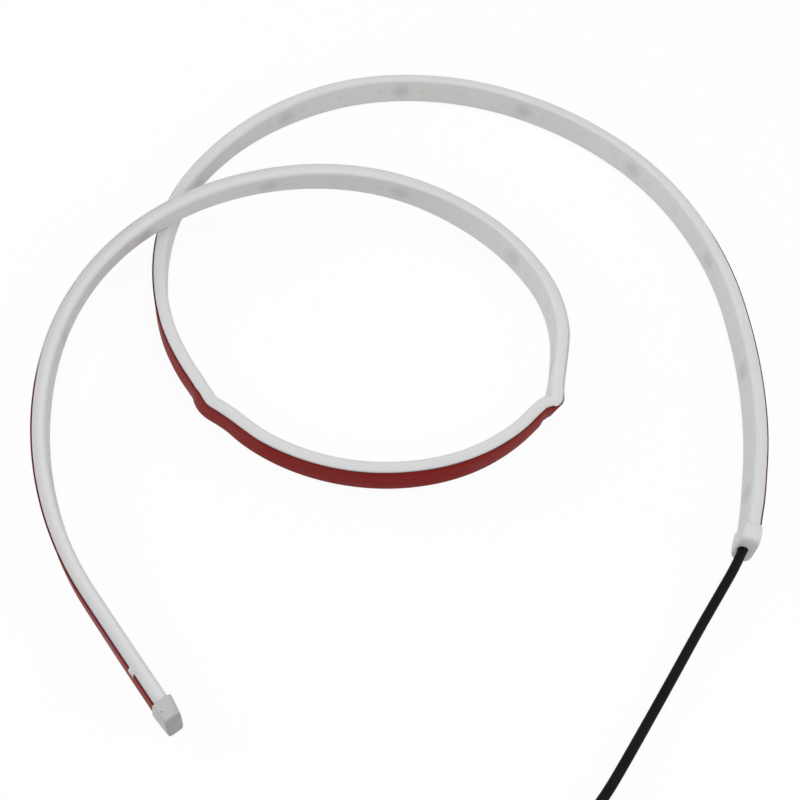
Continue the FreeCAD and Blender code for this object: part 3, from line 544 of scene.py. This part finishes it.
def add_loft(work, rings, closed=False):
    """Joins rings of equal count into a skin; open lofts get a fan on both ends."""
    skins = [[work.verts.new(point) for point in ring] for ring in rings]
    pairs = list(zip(skins, skins[1:])) + ([(skins[-1], skins[0])] if closed else [])
    for first, second in pairs:
        for i in range(len(first)):
            j = (i + 1) % len(first)
            work.faces.new((first[i], first[j], second[j], second[i]))
    if not closed:
        for skin in (skins[0], skins[-1]):
            middle = work.verts.new(sum((v.co for v in skin), Vector()) / len(skin))
            for i in range(len(skin)):
                work.faces.new((skin[i], skin[(i + 1) % len(skin)], middle))


def soft_outline(half_side, half_up, squareness, count=56):
    """Points of a rounded rectangle; a squareness of 2 is an ellipse."""
    points = []
    for i in range(count):
        turn = 2 * math.pi * (i + 0.5) / count
        c, s = math.cos(turn), math.sin(turn)
        points.append((half_side * math.copysign(abs(c) ** (2 / squareness), c),
                       half_up * math.copysign(abs(s) ** (2 / squareness), s)))
    return points


def tube_rings(points, radius, count=14):
    """Rings of a round tube along a line of points."""
    rings = []
    for i, point in enumerate(points):
        ahead = (points[min(i + 1, len(points) - 1)] - points[max(i - 1, 0)]).normalized()
        side = ahead.cross(Vector((0, 0, 1))).normalized()
        up = side.cross(ahead)
        size = radius(i) if callable(radius) else radius
        rings.append([point + size * (math.cos(2 * math.pi * k / count) * side
                                      + math.sin(2 * math.pi * k / count) * up) for k in range(count)])
    return rings


def between(table, value):
    """Smooth values between the rows of a table, by its first column."""
    last = len(table) - 1
    for i in range(last):
        if value <= table[i + 1][0] or i == last - 1:
            four = [table[k] for k in (max(i - 1, 0), i, i + 1, min(i + 2, last))]
            span = four[2][0] - four[1][0]
            share = min(1.0, max(0.0, (value - four[1][0]) / span))
            result = []
            for k in range(1, len(table[0])):
                slopes = [(four[j + 1][k] - four[j - 1][k]) / (four[j + 1][0] - four[j - 1][0]) * span
                          for j in (1, 2)]
                a, b = four[1][k], four[2][k]
                result.append(a + share * slopes[0]
                              + share ** 2 * (3 * (b - a) - 2 * slopes[0] - slopes[1])
                              + share ** 3 * (2 * (a - b) + slopes[0] + slopes[1]))
            return result


class StripRoute:
    """The strip's middle line: place, heading and lean at every station, in millimetres."""

    def __init__(self):
        self.rows = []
        station, heading = 0.0, math.radians(ROUTE_HEADING)
        x, y = ROUTE_START
        runs = [(FIRST_RUN, 0.0)] + [(r * math.radians(abs(t)), math.radians(t)) for _, r, t in BENDS]
        runs.append((STRIP_LENGTH - sum(run[0] for run in runs), 0.0))
        for length, turn in runs:
            steps = max(2, math.ceil(length / LONGEST_STEP),
                        math.ceil(abs(turn) / math.radians(LARGEST_TURN)))
            for _ in range(steps):
                self.rows.append((station, x, y, heading))
                half = turn / steps / 2
                chord = length / steps * (math.sin(half) / half if half else 1.0)
                x += chord * math.cos(heading + half)
                y += chord * math.sin(heading + half)
                heading += 2 * half
                station += length / steps
        self.rows.append((station, x, y, heading))

    def at(self, station):
        """Place and heading at a station."""
        for first, second in zip(self.rows, self.rows[1:]):
            if station <= second[0]:
                share = (station - first[0]) / (second[0] - first[0])
                return tuple(a + (b - a) * share for a, b in zip(first[1:], second[1:]))
        return self.rows[-1][1:]

    def frame(self, station):
        """The sleeve's middle at a station in metres, and its forward, outward and upward directions."""
        x, y, heading = self.at(station)
        base, slope_x, slope_y = LAID_PLANE if station <= HINGE_STATION else RAISED_PLANE
        shift, lean = between(LAY, station)
        # Slope of the sideways shift, over one millimetre
        drift = between(LAY, station + 0.5)[0] - between(LAY, station - 0.5)[0]
        side = Vector((math.sin(heading), -math.cos(heading), 0.0))
        ahead = Vector((math.cos(heading), math.sin(heading), 0.0))
        ahead.z = slope_x * ahead.x + slope_y * ahead.y
        point = Vector((x, y, base + slope_x * x + slope_y * y))
        point += side.cross(ahead).normalized() * (SLEEVE_WIDTH / 2)
        forward = (ahead + side * drift).normalized()
        level = forward.cross(Vector((0, 0, 1))).normalized()
        turn = Matrix.Rotation(math.radians(lean), 3, forward)
        out, up = turn @ level, turn @ level.cross(forward)
        return (point + side * shift) * MM, forward, out, up

    def lean(self, station):
        return math.radians(between(LAY, station)[1])


ROUTE = StripRoute()


def route_curve(name, first, last):
    """A poly curve along the strip between two stations, leaning as the strip does."""
    stations = [first] + [row[0] for row in ROUTE.rows if first + 0.2 < row[0] < last - 0.2] + [last]
    curve = bpy.data.curves.new(name, "CURVE")
    curve.dimensions = "3D"
    curve.twist_mode = "Z_UP"
    spline = curve.splines.new("POLY")
    spline.points.add(len(stations) - 1)
    for point, station in zip(spline.points, stations):
        point.co = (*ROUTE.frame(station)[0], 1.0)
        point.tilt = ROUTE.lean(station)
    return bpy.data.objects.new(name, curve)


def open_tree(name, numbers, switches=()):
    """A new Geometry Nodes tree with a route, named sizes and a finish; returns its sketch and inputs."""
    tree = bpy.data.node_groups.new(name, "GeometryNodeTree")
    face = tree.interface
    face.new_socket("Route", in_out="INPUT", socket_type="NodeSocketGeometry")
    for label in numbers:
        face.new_socket(label, in_out="INPUT", socket_type="NodeSocketFloat")
    for label in switches:
        face.new_socket(label, in_out="INPUT", socket_type="NodeSocketBool")
    face.new_socket("Count", in_out="INPUT", socket_type="NodeSocketInt")
    face.new_socket("Finish", in_out="INPUT", socket_type="NodeSocketMaterial")
    face.new_socket("Pieces", in_out="OUTPUT", socket_type="NodeSocketGeometry")
    sketch = NodeSketch(tree)
    return sketch, sketch.add("NodeGroupInput").outputs


def close_tree(sketch, geometry, finish):
    """Ends a tree in real geometry with its material."""
    real = sketch.add("GeometryNodeRealizeInstances", {"Geometry": geometry})
    dressed = sketch.add("GeometryNodeSetMaterial", {"Geometry": real.outputs[0], "Material": finish})
    sketch.add("NodeGroupOutput", {"Pieces": dressed.outputs[0]})
    return sketch.tree


def layer_tree(name):
    """Geometry Nodes: a band with rounded edges swept along the strip's route."""
    sketch, given = open_tree(name, ("Offset", "Thickness", "Width", "Light corner", "Back corner"))
    length = sketch.add("GeometryNodeSplineParameter").outputs["Length"]
    path = sketch.add("GeometryNodeCaptureAttribute", {"Geometry": given["Route"]})
    path.capture_items.new("FLOAT", "along")
    sketch.tree.links.new(length, path.inputs[1])
    quad = sketch.add("GeometryNodeCurvePrimitiveQuadrilateral", {
        "Width": given["Thickness"], "Height": given["Width"]}, mode="RECTANGLE")
    cut = sketch.add("GeometryNodeSubdivideCurve", {"Curve": quad.outputs[0], "Cuts": 2})
    place = sketch.add("GeometryNodeInputPosition").outputs[0]
    spot = sketch.add("ShaderNodeSeparateXYZ", {"Vector": place}).outputs
    on_back = sketch.add("FunctionNodeCompare", {0: spot["X"], 1: 0.0}, operation="GREATER_THAN").outputs[0]
    rounding = sketch.add("GeometryNodeSwitch", {
        "Switch": on_back, "False": given["Light corner"], "True": given["Back corner"]},
        input_type="FLOAT").outputs[0]
    # Only at the four corners is x times y a quarter of the whole section, and only they are rounded
    area = sketch.times(sketch.maths("ABSOLUTE", spot["X"]), sketch.maths("ABSOLUTE", spot["Y"]))
    full = sketch.times(given["Thickness"], sketch.times(given["Width"], 0.2))
    corner = sketch.times(rounding, sketch.maths("GREATER_THAN", area, full))
    fillet = sketch.add("GeometryNodeFilletCurve", {
        "Curve": cut.outputs[0], "Radius": corner, "Count": given["Count"],
        "Limit Radius": True}, mode="POLY")
    shift = sketch.add("ShaderNodeCombineXYZ", {"X": given["Offset"]}).outputs[0]
    moved = sketch.add("GeometryNodeTransform", {"Geometry": fillet.outputs[0], "Translation": shift})
    outline = sketch.add("GeometryNodeCaptureAttribute", {"Geometry": moved.outputs[0]})
    outline.capture_items.new("VECTOR", "section")
    sketch.tree.links.new(place, outline.inputs[1])
    swept = sketch.add("GeometryNodeCurveToMesh", {
        "Curve": path.outputs[0], "Profile Curve": outline.outputs[0], "Fill Caps": True})
    with_along = sketch.add("GeometryNodeStoreNamedAttribute", {
        "Geometry": swept.outputs[0], "Name": "along", "Value": path.outputs[1]}, data_type="FLOAT")
    with_section = sketch.add("GeometryNodeStoreNamedAttribute", {
        "Geometry": with_along.outputs[0], "Name": "section"}, data_type="FLOAT_VECTOR")
    sketch.tree.links.new(outline.outputs[1], with_section.inputs["Value"])
    smooth = sketch.add("GeometryNodeSetShadeSmooth", {"Geometry": with_section.outputs[0]})
    return close_tree(sketch, smooth.outputs[0], given["Finish"])


def row_tree(name):
    """Geometry Nodes: a row of like blocks or discs on the strip's route."""
    sketch, given = open_tree(name, ("Offset", "Height", "Width", "Length"), ("Round",))
    spots = sketch.add("GeometryNodeCurveToPoints", {"Curve": given["Route"], "Count": given["Count"]},
                       mode="COUNT")
    size = sketch.add("ShaderNodeCombineXYZ", {
        "X": given["Height"], "Y": given["Width"], "Z": given["Length"]}).outputs[0]
    block = sketch.add("GeometryNodeMeshCube", {"Size": size}).outputs[0]
    radius = sketch.maths("DIVIDE", given["Width"], 2.0)
    disc = sketch.add("GeometryNodeMeshCylinder", {
        "Vertices": 20, "Radius": radius, "Depth": given["Height"]}).outputs[0]
    flat = sketch.add("GeometryNodeTransform", {
        "Geometry": disc, "Rotation": (0.0, math.pi / 2, 0.0)}).outputs[0]
    part = sketch.add("GeometryNodeSwitch", {
        "Switch": given["Round"], "False": block, "True": flat}, input_type="GEOMETRY").outputs[0]
    shift = sketch.add("ShaderNodeCombineXYZ", {"X": given["Offset"]}).outputs[0]
    moved = sketch.add("GeometryNodeTransform", {"Geometry": part, "Translation": shift}).outputs[0]
    row = sketch.add("GeometryNodeInstanceOnPoints", {
        "Points": spots.outputs["Points"], "Instance": moved,
        "Rotation": spots.outputs["Rotation"]}).outputs[0]
    return close_tree(sketch, row, given["Finish"])


def along_strip(context, name, make_tree, first, last, values, material):
    """What a tree makes along the strip between two stations, as a plain mesh object."""
    guide = route_curve(name + "_guide", first, last)
    context.scene.collection.objects.link(guide)
    tree_name = "strip_" + make_tree.__name__
    tree = bpy.data.node_groups.get(tree_name) or make_tree(tree_name)
    modifier = guide.modifiers.new("pieces", "NODES")
    modifier.node_group = tree
    wanted = dict(values, Finish=material)
    for item in tree.interface.items_tree:
        if item.in_out == "INPUT" and item.name in wanted:
            modifier[item.identifier] = wanted[item.name]
    graph = context.evaluated_depsgraph_get()
    mesh = bpy.data.meshes.new_from_object(guide.evaluated_get(graph), depsgraph=graph)
    guide.modifiers.remove(modifier)
    bpy.data.objects.remove(guide)
    if not mesh.polygons:
        raise RuntimeError(f"{name} came out empty")
    mesh.name = name
    return bpy.data.objects.new(name, mesh)


def strip_layer(context, name, first, last, offset, thickness, width, corners, material):
    """One long layer of the strip."""
    return along_strip(context, name, layer_tree, first, last, {
        "Offset": offset, "Thickness": thickness, "Width": width, "Light corner": corners[0],
        "Back corner": corners[1], "Count": 7 if corners[0] > 0.1 * MM else 2}, material)


def strip_row(context, name, first, pitch, count, offset, size, is_round, material):
    """A row of like parts: size is height off the circuit, width across the strip and length along it."""
    last = first + pitch * (count - 1)
    return along_strip(context, name, row_tree, first, last, {
        "Offset": offset, "Height": size[0], "Width": size[1], "Length": size[2], "Round": is_round,
        "Count": count}, material)


class STRIPLIGHT_OT_cable(bpy.types.Operator):
    """Build the cable with its coil, tie and bare tails"""
    bl_idname = "strip_light.cable"
    bl_label = "Cable"

    def execute(self, context):
        sizes, looks = context.scene.strip_light_sizes, finishes(context)
        d = sizes.cable_diameter
        low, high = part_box("cord_coil")
        middle = (low + high) / 2
        outer = (high.x - low.x - d) / 2
        base = low.z + d / 2
        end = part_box("cord_end")[1]
        points = [Vector(p) * MM for p in CABLE_POINTS]
        points += self.coil_points(middle, outer, base, d)
        # From the last turn straight out to the bare end, on the floor
        tail_y = (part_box("tail_red")[1].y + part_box("tail_black")[0].y) / 2
        points += [Vector((middle.x + 14 * MM, tail_y - 1.4 * MM, d / 2)),
                   Vector((end.x - 5 * MM, tail_y, d / 2)), Vector((end.x, tail_y, d / 2))]
        curve = bpy.data.curves.new("cable", "CURVE")
        curve.dimensions = "3D"
        curve.bevel_depth = 1.0
        curve.bevel_resolution = 5
        curve.use_fill_caps = True
        curve.resolution_u = 6
        spline = curve.splines.new("NURBS")
        spline.points.add(len(points) - 1)
        for knot, point in zip(spline.points, points):
            knot.co = (*point, 1.0)
            knot.radius = d / 2
        spline.order_u = 3
        spline.use_endpoint_u = True
        curve.materials.append(looks["black_jacket"])
        cable = bpy.data.objects.new("cable", curve)
        finish_piece(context, cable, "cable", "cord", "cord_coil", "cord_end")
        on_cable = [self.tie(context, middle, outer, base, d)] + self.tails(context, points[-1])
        self.length(context, cable)
        return {"FINISHED"}

    @staticmethod
    def tie(context, middle, outer, base, d):
        """A nylon band drawn tight round the turns, with its head."""
        sizes, looks = context.scene.strip_light_sizes, finishes(context)
        low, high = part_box("coil_tie")
        away = (low + high) / 2 - middle
        away.z = 0.0
        away.normalize()
        across = Vector((-away.y, away.x, 0.0))
        rise = Vector((0, 0, 1))
        spots = [(outer - column * d, base + row * d) for column, row in COIL_TURNS]
        inside, half = d / 2 + TIE_GAP * MM, sizes.tie_width / 2
        outside, edge = inside + sizes.tie_thickness, TIE_EDGE * MM
        outline = ((inside, -half), (inside, half), (outside - edge, half), (outside, half - edge),
                   (outside, edge - half), (outside - edge, -half))
        floor = Vector((middle.x, middle.y, 0.0))
        rings = []
        for k in range(TIE_STEPS):
            c, s = math.cos(2 * math.pi * k / TIE_STEPS), math.sin(2 * math.pi * k / TIE_STEPS)
            radius, height = max(spots, key=lambda spot: spot[0] * c + spot[1] * s)
            rings.append([floor + away * (radius + reach * c) + rise * (height + reach * s) + across * wide
                          for reach, wide in outline])
        work = bmesh.new()
        add_loft(work, rings, closed=True)
        head = floor + away * (outer + outside + TIE_HEAD_REACH * MM) + rise * (base + 1.2 * d)
        add_loft(work, [[head + away * (side * MM) + across * (wide * MM) + rise * (up * MM)
                         for side, wide in soft_outline(half_side, half_wide, 6, 24)]
                        for up, half_side, half_wide in TIE_HEAD])
        tie = mesh_piece("cable_tie", work, looks["black_nylon"])
        finish_piece(context, tie, "tie", "coil_tie")
        return tie

    @staticmethod
    def tails(context, start):
        """The two insulated cores that part from the cable's end, and their twisted tinned strands."""
        sizes, looks = context.scene.strip_light_sizes, finishes(context)
        r = sizes.tail_diameter / 2
        pieces, bare = [], bmesh.new()
        for node, look, slot, side in (("tail_red", "red_insulation", "core_red", 1),
                                       ("tail_black", "black_insulation", "core_black", -1)):
            low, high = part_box(node)
            tip = Vector((high.x, (high.y if side > 0 else low.y) - side * r, r))
            begin = start + Vector((-1 * MM, side * 0.6 * MM, 0))
            bend = begin + Vector((9 * MM, side * 0.3 * MM, -0.2 * MM))
            line = [begin * (1 - s) ** 2 + bend * (2 * s * (1 - s)) + tip * s ** 2
                    for s in (k / TAIL_STEPS for k in range(TAIL_STEPS + 1))]
            work = bmesh.new()
            add_loft(work, tube_rings(line, r))
            tail = mesh_piece(node.replace("tail", "core_tail"), work, looks[look])
            finish_piece(context, tail, slot, node)
            pieces.append(tail)
            ahead = (tip - bend).normalized()
            beside = ahead.cross(Vector((0, 0, 1))).normalized()
            upward = beside.cross(ahead)
            for strand in range(STRAND_COUNT):
                reach = STRAND_REACH * MM if strand else 0.0
                line = []
                for k in range(STRAND_STEPS):
                    turn = strand * math.pi / 3 + STRAND_TWIST * k
                    line.append(tip + ahead * ((STRAND_STEP * k - STRAND_ROOT) * MM)
                                + reach * (math.cos(turn) * beside + math.sin(turn) * upward))
                add_loft(bare, tube_rings(line, STRAND_RADIUS * MM, 8))
        strands = mesh_piece("tinned_strands", bare, looks["tinned_copper"])
        finish_piece(context, strands, "solder", "tinned_tips")
        return pieces + [strands]

    @staticmethod
    def coil_points(middle, outer, base, d):
        """Control points of the coil's turns: inwards, up, outwards, up, and down to the end."""
        spread = 1 / math.cos(math.pi / POINTS_PER_TURN)
        points = []

        def put(turn, radius, height):
            angle = math.radians(turn)
            points.append(Vector((middle.x + radius * spread * math.cos(angle),
                                  middle.y + radius * spread * math.sin(angle), height)))

        for n, (column, row) in enumerate(COIL_TURNS):
            before = COIL_TURNS[n - 1] if n else (column, row)
            for k in range(POINTS_PER_TURN):
                step = min(1.0, k / 3)
                column_now = before[0] + (column - before[0]) * step
                early = COIL_TURNS[n + 1][1] if n + 1 < len(COIL_TURNS) else row
                rise = max(0.0, (k - POINTS_PER_TURN + 4) / 4) * (early - row)
                put(COIL_ENTRY + 360 * k / POINTS_PER_TURN, outer - column_now * d, base + (row + rise) * d)
        for turn, out, level in COIL_EXIT:
            put(COIL_ENTRY + turn, outer + out * d, base + level * d)
        return points

    @staticmethod
    def length(context, cable):
        """The cable's length along its own spline."""
        depth, cable.data.bevel_depth = cable.data.bevel_depth, 0.0
        graph = context.evaluated_depsgraph_get()
        line = bpy.data.meshes.new_from_object(cable.evaluated_get(graph), depsgraph=graph)
        cable.data.bevel_depth = depth
        total = sum((line.vertices[e.vertices[0]].co - line.vertices[e.vertices[1]].co).length
                    for e in line.edges)
        bpy.data.meshes.remove(line)
        return total


class STRIPLIGHT_OT_sleeve(bpy.types.Operator):
    """Build the milk-white silicone sleeve"""
    bl_idname = "strip_light.sleeve"
    bl_label = "Sleeve"

    def execute(self, context):
        sizes, looks = context.scene.strip_light_sizes, finishes(context)
        sleeve = strip_layer(context, "strip_sleeve", 0.0, STRIP_LENGTH, 0.0, sizes.sleeve_thickness,
                             sizes.sleeve_width, (sizes.light_corner, sizes.back_corner),
                             looks["milky_silicone"])
        finish_piece(context, sleeve, "silicone", "silicone_sleeve")
        return {"FINISHED"}


class STRIPLIGHT_OT_tape(bpy.types.Operator):
    """Build the foam tape and its red liner"""
    bl_idname = "strip_light.tape"
    bl_label = "Tape and liner"

    def execute(self, context):
        sizes, looks = context.scene.strip_light_sizes, finishes(context)
        offset = sizes.sleeve_thickness / 2
        for name, thickness, look, slot, node in (
                ("strip_tape", sizes.tape_thickness, "dark_foam", "foam_tape", "foam_tape"),
                ("strip_liner", sizes.liner_thickness, "red_liner", "liner", "release_liner")):
            offset += LAYER_GAP * MM + thickness / 2
            layer = strip_layer(context, name, CABLE_MOUTH + MOUTH_GAP, CLOSED_MOUTH - MOUTH_GAP, offset,
                                thickness, sizes.tape_width, (TAPE_CORNER, TAPE_CORNER), looks[look])
            finish_piece(context, layer, slot, node)
            offset += thickness / 2
        return {"FINISHED"}


class STRIPLIGHT_OT_caps(bpy.types.Operator):
    """Build the two moulded end caps and the sealant in them"""
    bl_idname = "strip_light.caps"
    bl_label = "End caps"

    def execute(self, context):
        looks = finishes(context)
        for name, sections, station, sense, lean, look, node in (
                ("blind_cap", CLOSED_CAP, CLOSED_MOUTH, 1, 0.0, "moulded_grey", "closed_end_cap"),
                ("cable_cap", CABLE_CAP, CABLE_MOUTH, -1, CABLE_CAP_LEAN, "moulded_white", "cable_end_cap")):
            origin, forward, out, up = ROUTE.frame(station)
            turn = Matrix.Rotation(math.radians(lean), 3, forward)
            out, up = turn @ out, turn @ up
            rings = []
            for distance, light, tape, low, high, squareness, slant in sections:
                ring = []
                for side, rise in soft_outline((tape + light) / 2, (low + high) / 2, squareness, CAP_POINTS):
                    uneven = 1.0 + CAP_UNEVENNESS * noise.noise((0.5 * distance, 0.5 * side, 0.5 * rise))
                    side = side * uneven + (tape - light) / 2
                    rise = rise * uneven + (high - low) / 2
                    reach = sense * (distance - slant * rise)
                    ring.append(origin + MM * (forward * reach + out * side + up * rise))
                rings.append(ring)
            work = bmesh.new()
            depth = work.verts.layers.float.new("toward_end")
            add_loft(work, rings)
            for vert in work.verts:
                vert[depth] = (vert.co - origin).dot(forward * sense + up * END_SLANT) / MM
            finish_piece(context, mesh_piece(name, work, looks[look]), "cap", node)
            bottom = sections[0][0]
            work = bmesh.new()
            add_loft(work, [[origin + MM * (forward * (sense * (bottom + short)) + out * side + up * rise)
                             for side, rise in soft_outline(half, high, 8)]
                            for short, half, high in SEALANT_PLUG])
            plug = mesh_piece(name + "_sealant", work, looks["white_sealant"])
            finish_piece(context, plug, "sealant", node.replace("cap", "sealant"))
        return {"FINISHED"}


class STRIPLIGHT_OT_smear(bpy.types.Operator):
    """Build the sealant smear over the tape's upper edge"""
    bl_idname = "strip_light.smear"
    bl_label = "Sealant smear"

    def execute(self, context):
        path = [Vector(point) for point in SMEAR_PATH]
        last = len(path) - 1
        rings = []
        for i in range(SMEAR_RINGS):
            along = -1 + 2 * i / (SMEAR_RINGS - 1)
            outside, inside = [], []
            for k, spot in enumerate(path):
                share = k / last
                run = path[min(k + 1, last)] - path[max(k - 1, 0)]
                normal = Vector((-run.y, run.x)).normalized()
                station = SMEAR_STATION + along * SMEAR_HALF * (0.8 + 0.5 * noise.noise((share * 4, 7.3, 0)))
                lumps = 0.75 + 0.6 * noise.noise((along * 1.7, share * 3, 2.1))
                swell = math.sin(math.pi * min(share + 0.15, 1)) ** 0.6
                thick = SMEAR_THICKNESS * math.sqrt(1 - along ** 2) * swell * lumps
                outside.append(self.point(station, spot + normal * max(thick, 0.01)))
                inside.append(self.point(station, spot - normal * SMEAR_ROOT))
            rings.append(outside + inside[::-1])
        work = bmesh.new()
        add_loft(work, rings)
        patch = mesh_piece("sealant_patch", work, finishes(context)["white_sealant"])
        finish_piece(context, patch, "sealant", "sealant_smear")
        return {"FINISHED"}

    @staticmethod
    def point(station, spot):
        """A place on the strip, sideways and up from the sleeve's middle."""
        origin, _, out, up = ROUTE.frame(station)
        return origin + MM * (out * spot.x + up * spot.y)


class STRIPLIGHT_OT_circuit(bpy.types.Operator):
    """Build the circuit with its lights and resistors in the sleeve"""
    bl_idname = "strip_light.circuit"
    bl_label = "Circuit, lights and resistors"

    def execute(self, context):
        sizes, looks = context.scene.strip_light_sizes, finishes(context)
        thin = sizes.circuit_thickness
        board = strip_layer(context, "circuit_film", CIRCUIT_INSET, STRIP_LENGTH - CIRCUIT_INSET,
                            CIRCUIT_FACE * MM + thin / 2, thin, sizes.circuit_width,
                            (CIRCUIT_CORNER, CIRCUIT_CORNER), looks["white_circuit"])
        finish_piece(context, board, "circuit", "flex_circuit")
        pitch, cut = sizes.light_pitch / MM, sizes.cut_length / MM
        count = round(STRIP_LENGTH / pitch)
        rows = (
            ("light_row", pitch / 2, pitch, count, LIGHT_SIZE, 0.0, False,
             "light_package", "light_package", "led_chips"),
            ("window_row", pitch / 2, pitch, count, WINDOW_SIZE, WINDOW_LIFT, True,
             "yellow_phosphor", "phosphor", "led_windows"),
            ("resistor_row", pitch, cut, round(STRIP_LENGTH / cut), RESISTOR_SIZE, 0.0, False,
             "chip_resistor", "resistor", "resistors"),
        )
        for name, first, step, number, size, lift, is_round, look, slot, node in rows:
            offset = CIRCUIT_FACE - PART_GAP - lift - size[0] / 2
            row = strip_row(context, name, first, step, number, offset * MM, [s * MM for s in size], is_round,
                            looks[look])
            finish_piece(context, row, slot, node)
        return {"FINISHED"}


class STRIPLIGHT_OT_inner_parts(bpy.types.Operator):
    """Give the cores and their solder joints their finishes"""
    bl_idname = "strip_light.inner_parts"
    bl_label = "Cores and solder"

    def execute(self, context):
        looks = finishes(context)
        wanted = {
            "core_red": "red_insulation", "core_black": "black_insulation", "solder_joints": "tinned_copper",
        }
        for name, look in wanted.items():
            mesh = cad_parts[name].data
            mesh.materials.clear()
            mesh.materials.append(looks[look])
        return {"FINISHED"}


class STRIPLIGHT_OT_stage(bpy.types.Operator):
    """Set the floor, the lights and the camera"""
    bl_idname = "strip_light.stage"
    bl_label = "Stage"

    def execute(self, context):
        self.camera(context)
        self.floor(context)
        self.lights(context)
        context.scene.view_settings.view_transform = "Standard"
        return {"FINISHED"}

    @staticmethod
    def camera(context):
        data = bpy.data.cameras.new("camera")
        data.sensor_width = CAMERA_SENSOR
        data.lens = CAMERA_LENS
        data.clip_start = 0.01
        camera = bpy.data.objects.new("camera", data)
        context.scene.collection.objects.link(camera)
        pitch, roll = math.radians(CAMERA_PITCH), math.radians(CAMERA_ROLL)
        ahead = Vector((0, math.cos(pitch), -math.sin(pitch)))
        level, rise = Vector((1, 0, 0)), Vector((0, math.sin(pitch), math.cos(pitch)))
        right = math.cos(roll) * level + math.sin(roll) * rise
        up = -math.sin(roll) * level + math.cos(roll) * rise
        turn = Matrix((right, up, -ahead)).transposed().to_4x4()
        camera.matrix_world = Matrix.Translation(Vector(CAMERA_PLACE) * MM) @ turn
        context.scene.camera = camera

    @staticmethod
    def seen_rays(sketch):
        """1 where the camera, a gloss or a clear part looks, 0 for light."""
        rays = sketch.add("ShaderNodeLightPath").outputs
        both = sketch.maths("MAXIMUM", rays["Is Camera Ray"], rays["Is Glossy Ray"])
        return sketch.maths("MAXIMUM", both, rays["Is Transmission Ray"])

    def floor(self, context):
        colours = context.scene.strip_light_colours
        work = bmesh.new()
        bmesh.ops.create_grid(work, x_segments=1, y_segments=1, size=FLOOR_HALF)
        bmesh.ops.translate(work, verts=work.verts, vec=(0, 0, -FLOOR_DROP * MM))
        mesh = bpy.data.meshes.new("floor")
        work.to_mesh(mesh)
        work.free()
        material = bpy.data.materials.new("pale_floor")
        material.use_nodes = True
        material.node_tree.nodes.clear()
        sketch = NodeSketch(material.node_tree)
        matt = sketch.add("ShaderNodeBsdfDiffuse", {"Color": rgba(colours.floor)}).outputs[0]
        glow = sketch.add("ShaderNodeEmission", {"Color": WHITE, "Strength": FLOOR_GLOW}).outputs[0]
        seen = sketch.add("ShaderNodeMixShader", {0: FLOOR_GLOW_SHARE, 1: matt, 2: glow}).outputs[0]
        both = sketch.add("ShaderNodeMixShader", {0: self.seen_rays(sketch), 1: matt, 2: seen}).outputs[0]
        sketch.add("ShaderNodeOutputMaterial", {"Surface": both})
        mesh.materials.append(material)
        floor = bpy.data.objects.new("floor", mesh)
        context.scene.collection.objects.link(floor)

    def lights(self, context):
        world = bpy.data.worlds.new("studio")
        world.use_nodes = True
        world.node_tree.nodes.clear()
        sketch = NodeSketch(world.node_tree)
        soft = sketch.add("ShaderNodeBackground", {"Color": WHITE, "Strength": WORLD_LIGHT}).outputs[0]
        white = sketch.add("ShaderNodeBackground", {"Color": WHITE, "Strength": WORLD_SEEN}).outputs[0]
        both = sketch.add("ShaderNodeMixShader", {0: self.seen_rays(sketch), 1: soft, 2: white}).outputs[0]
        sketch.add("ShaderNodeOutputWorld", {"Surface": both})
        context.scene.world = world
        for name, place, size, power in SOFTBOXES:
            data = bpy.data.lights.new(name, "AREA")
            data.size = size
            data.energy = power
            lamp = bpy.data.objects.new(name, data)
            lamp.location = place
            lamp.rotation_euler = (-Vector(place)).to_track_quat("-Z", "Y").to_euler()
            context.scene.collection.objects.link(lamp)


OPERATORS = (STRIPLIGHT_OT_stage, STRIPLIGHT_OT_cable, STRIPLIGHT_OT_sleeve, STRIPLIGHT_OT_tape,
             STRIPLIGHT_OT_caps, STRIPLIGHT_OT_smear, STRIPLIGHT_OT_circuit, STRIPLIGHT_OT_inner_parts)


class STRIPLIGHT_PT_panel(bpy.types.Panel):
    """Lists the pieces of the strip light and their sizes and colours"""
    bl_idname = "STRIPLIGHT_PT_panel"
    bl_label = "Strip Light"
    bl_space_type = "VIEW_3D"
    bl_region_type = "UI"
    bl_category = "Strip Light"

    def draw(self, context):
        for operator in OPERATORS:
            self.layout.operator(operator.bl_idname)
        for group in (context.scene.strip_light_sizes, context.scene.strip_light_colours):
            box = self.layout.box()
            for name in group.bl_rna.properties.keys():
                if name not in ("rna_type", "name"):
                    box.prop(group, name)


CLASSES = (StripSizes, StripColours) + OPERATORS + (STRIPLIGHT_PT_panel,)


def register():
    for cls in CLASSES:
        bpy.utils.register_class(cls)
    bpy.types.Scene.strip_light_sizes = bpy.props.PointerProperty(type=StripSizes)
    bpy.types.Scene.strip_light_colours = bpy.props.PointerProperty(type=StripColours)


def unregister():
    del bpy.types.Scene.strip_light_colours
    del bpy.types.Scene.strip_light_sizes
    for cls in reversed(CLASSES):
        bpy.utils.unregister_class(cls)


def main():
    """Builds the stage and every piece."""
    register()
    bpy.ops.strip_light.stage()
    bpy.ops.strip_light.cable()
    bpy.ops.strip_light.sleeve()
    bpy.ops.strip_light.tape()
    bpy.ops.strip_light.caps()
    bpy.ops.strip_light.smear()
    bpy.ops.strip_light.circuit()
    bpy.ops.strip_light.inner_parts()
    bpy.context.view_layer.update()


if __name__ == "__main__":
    main()
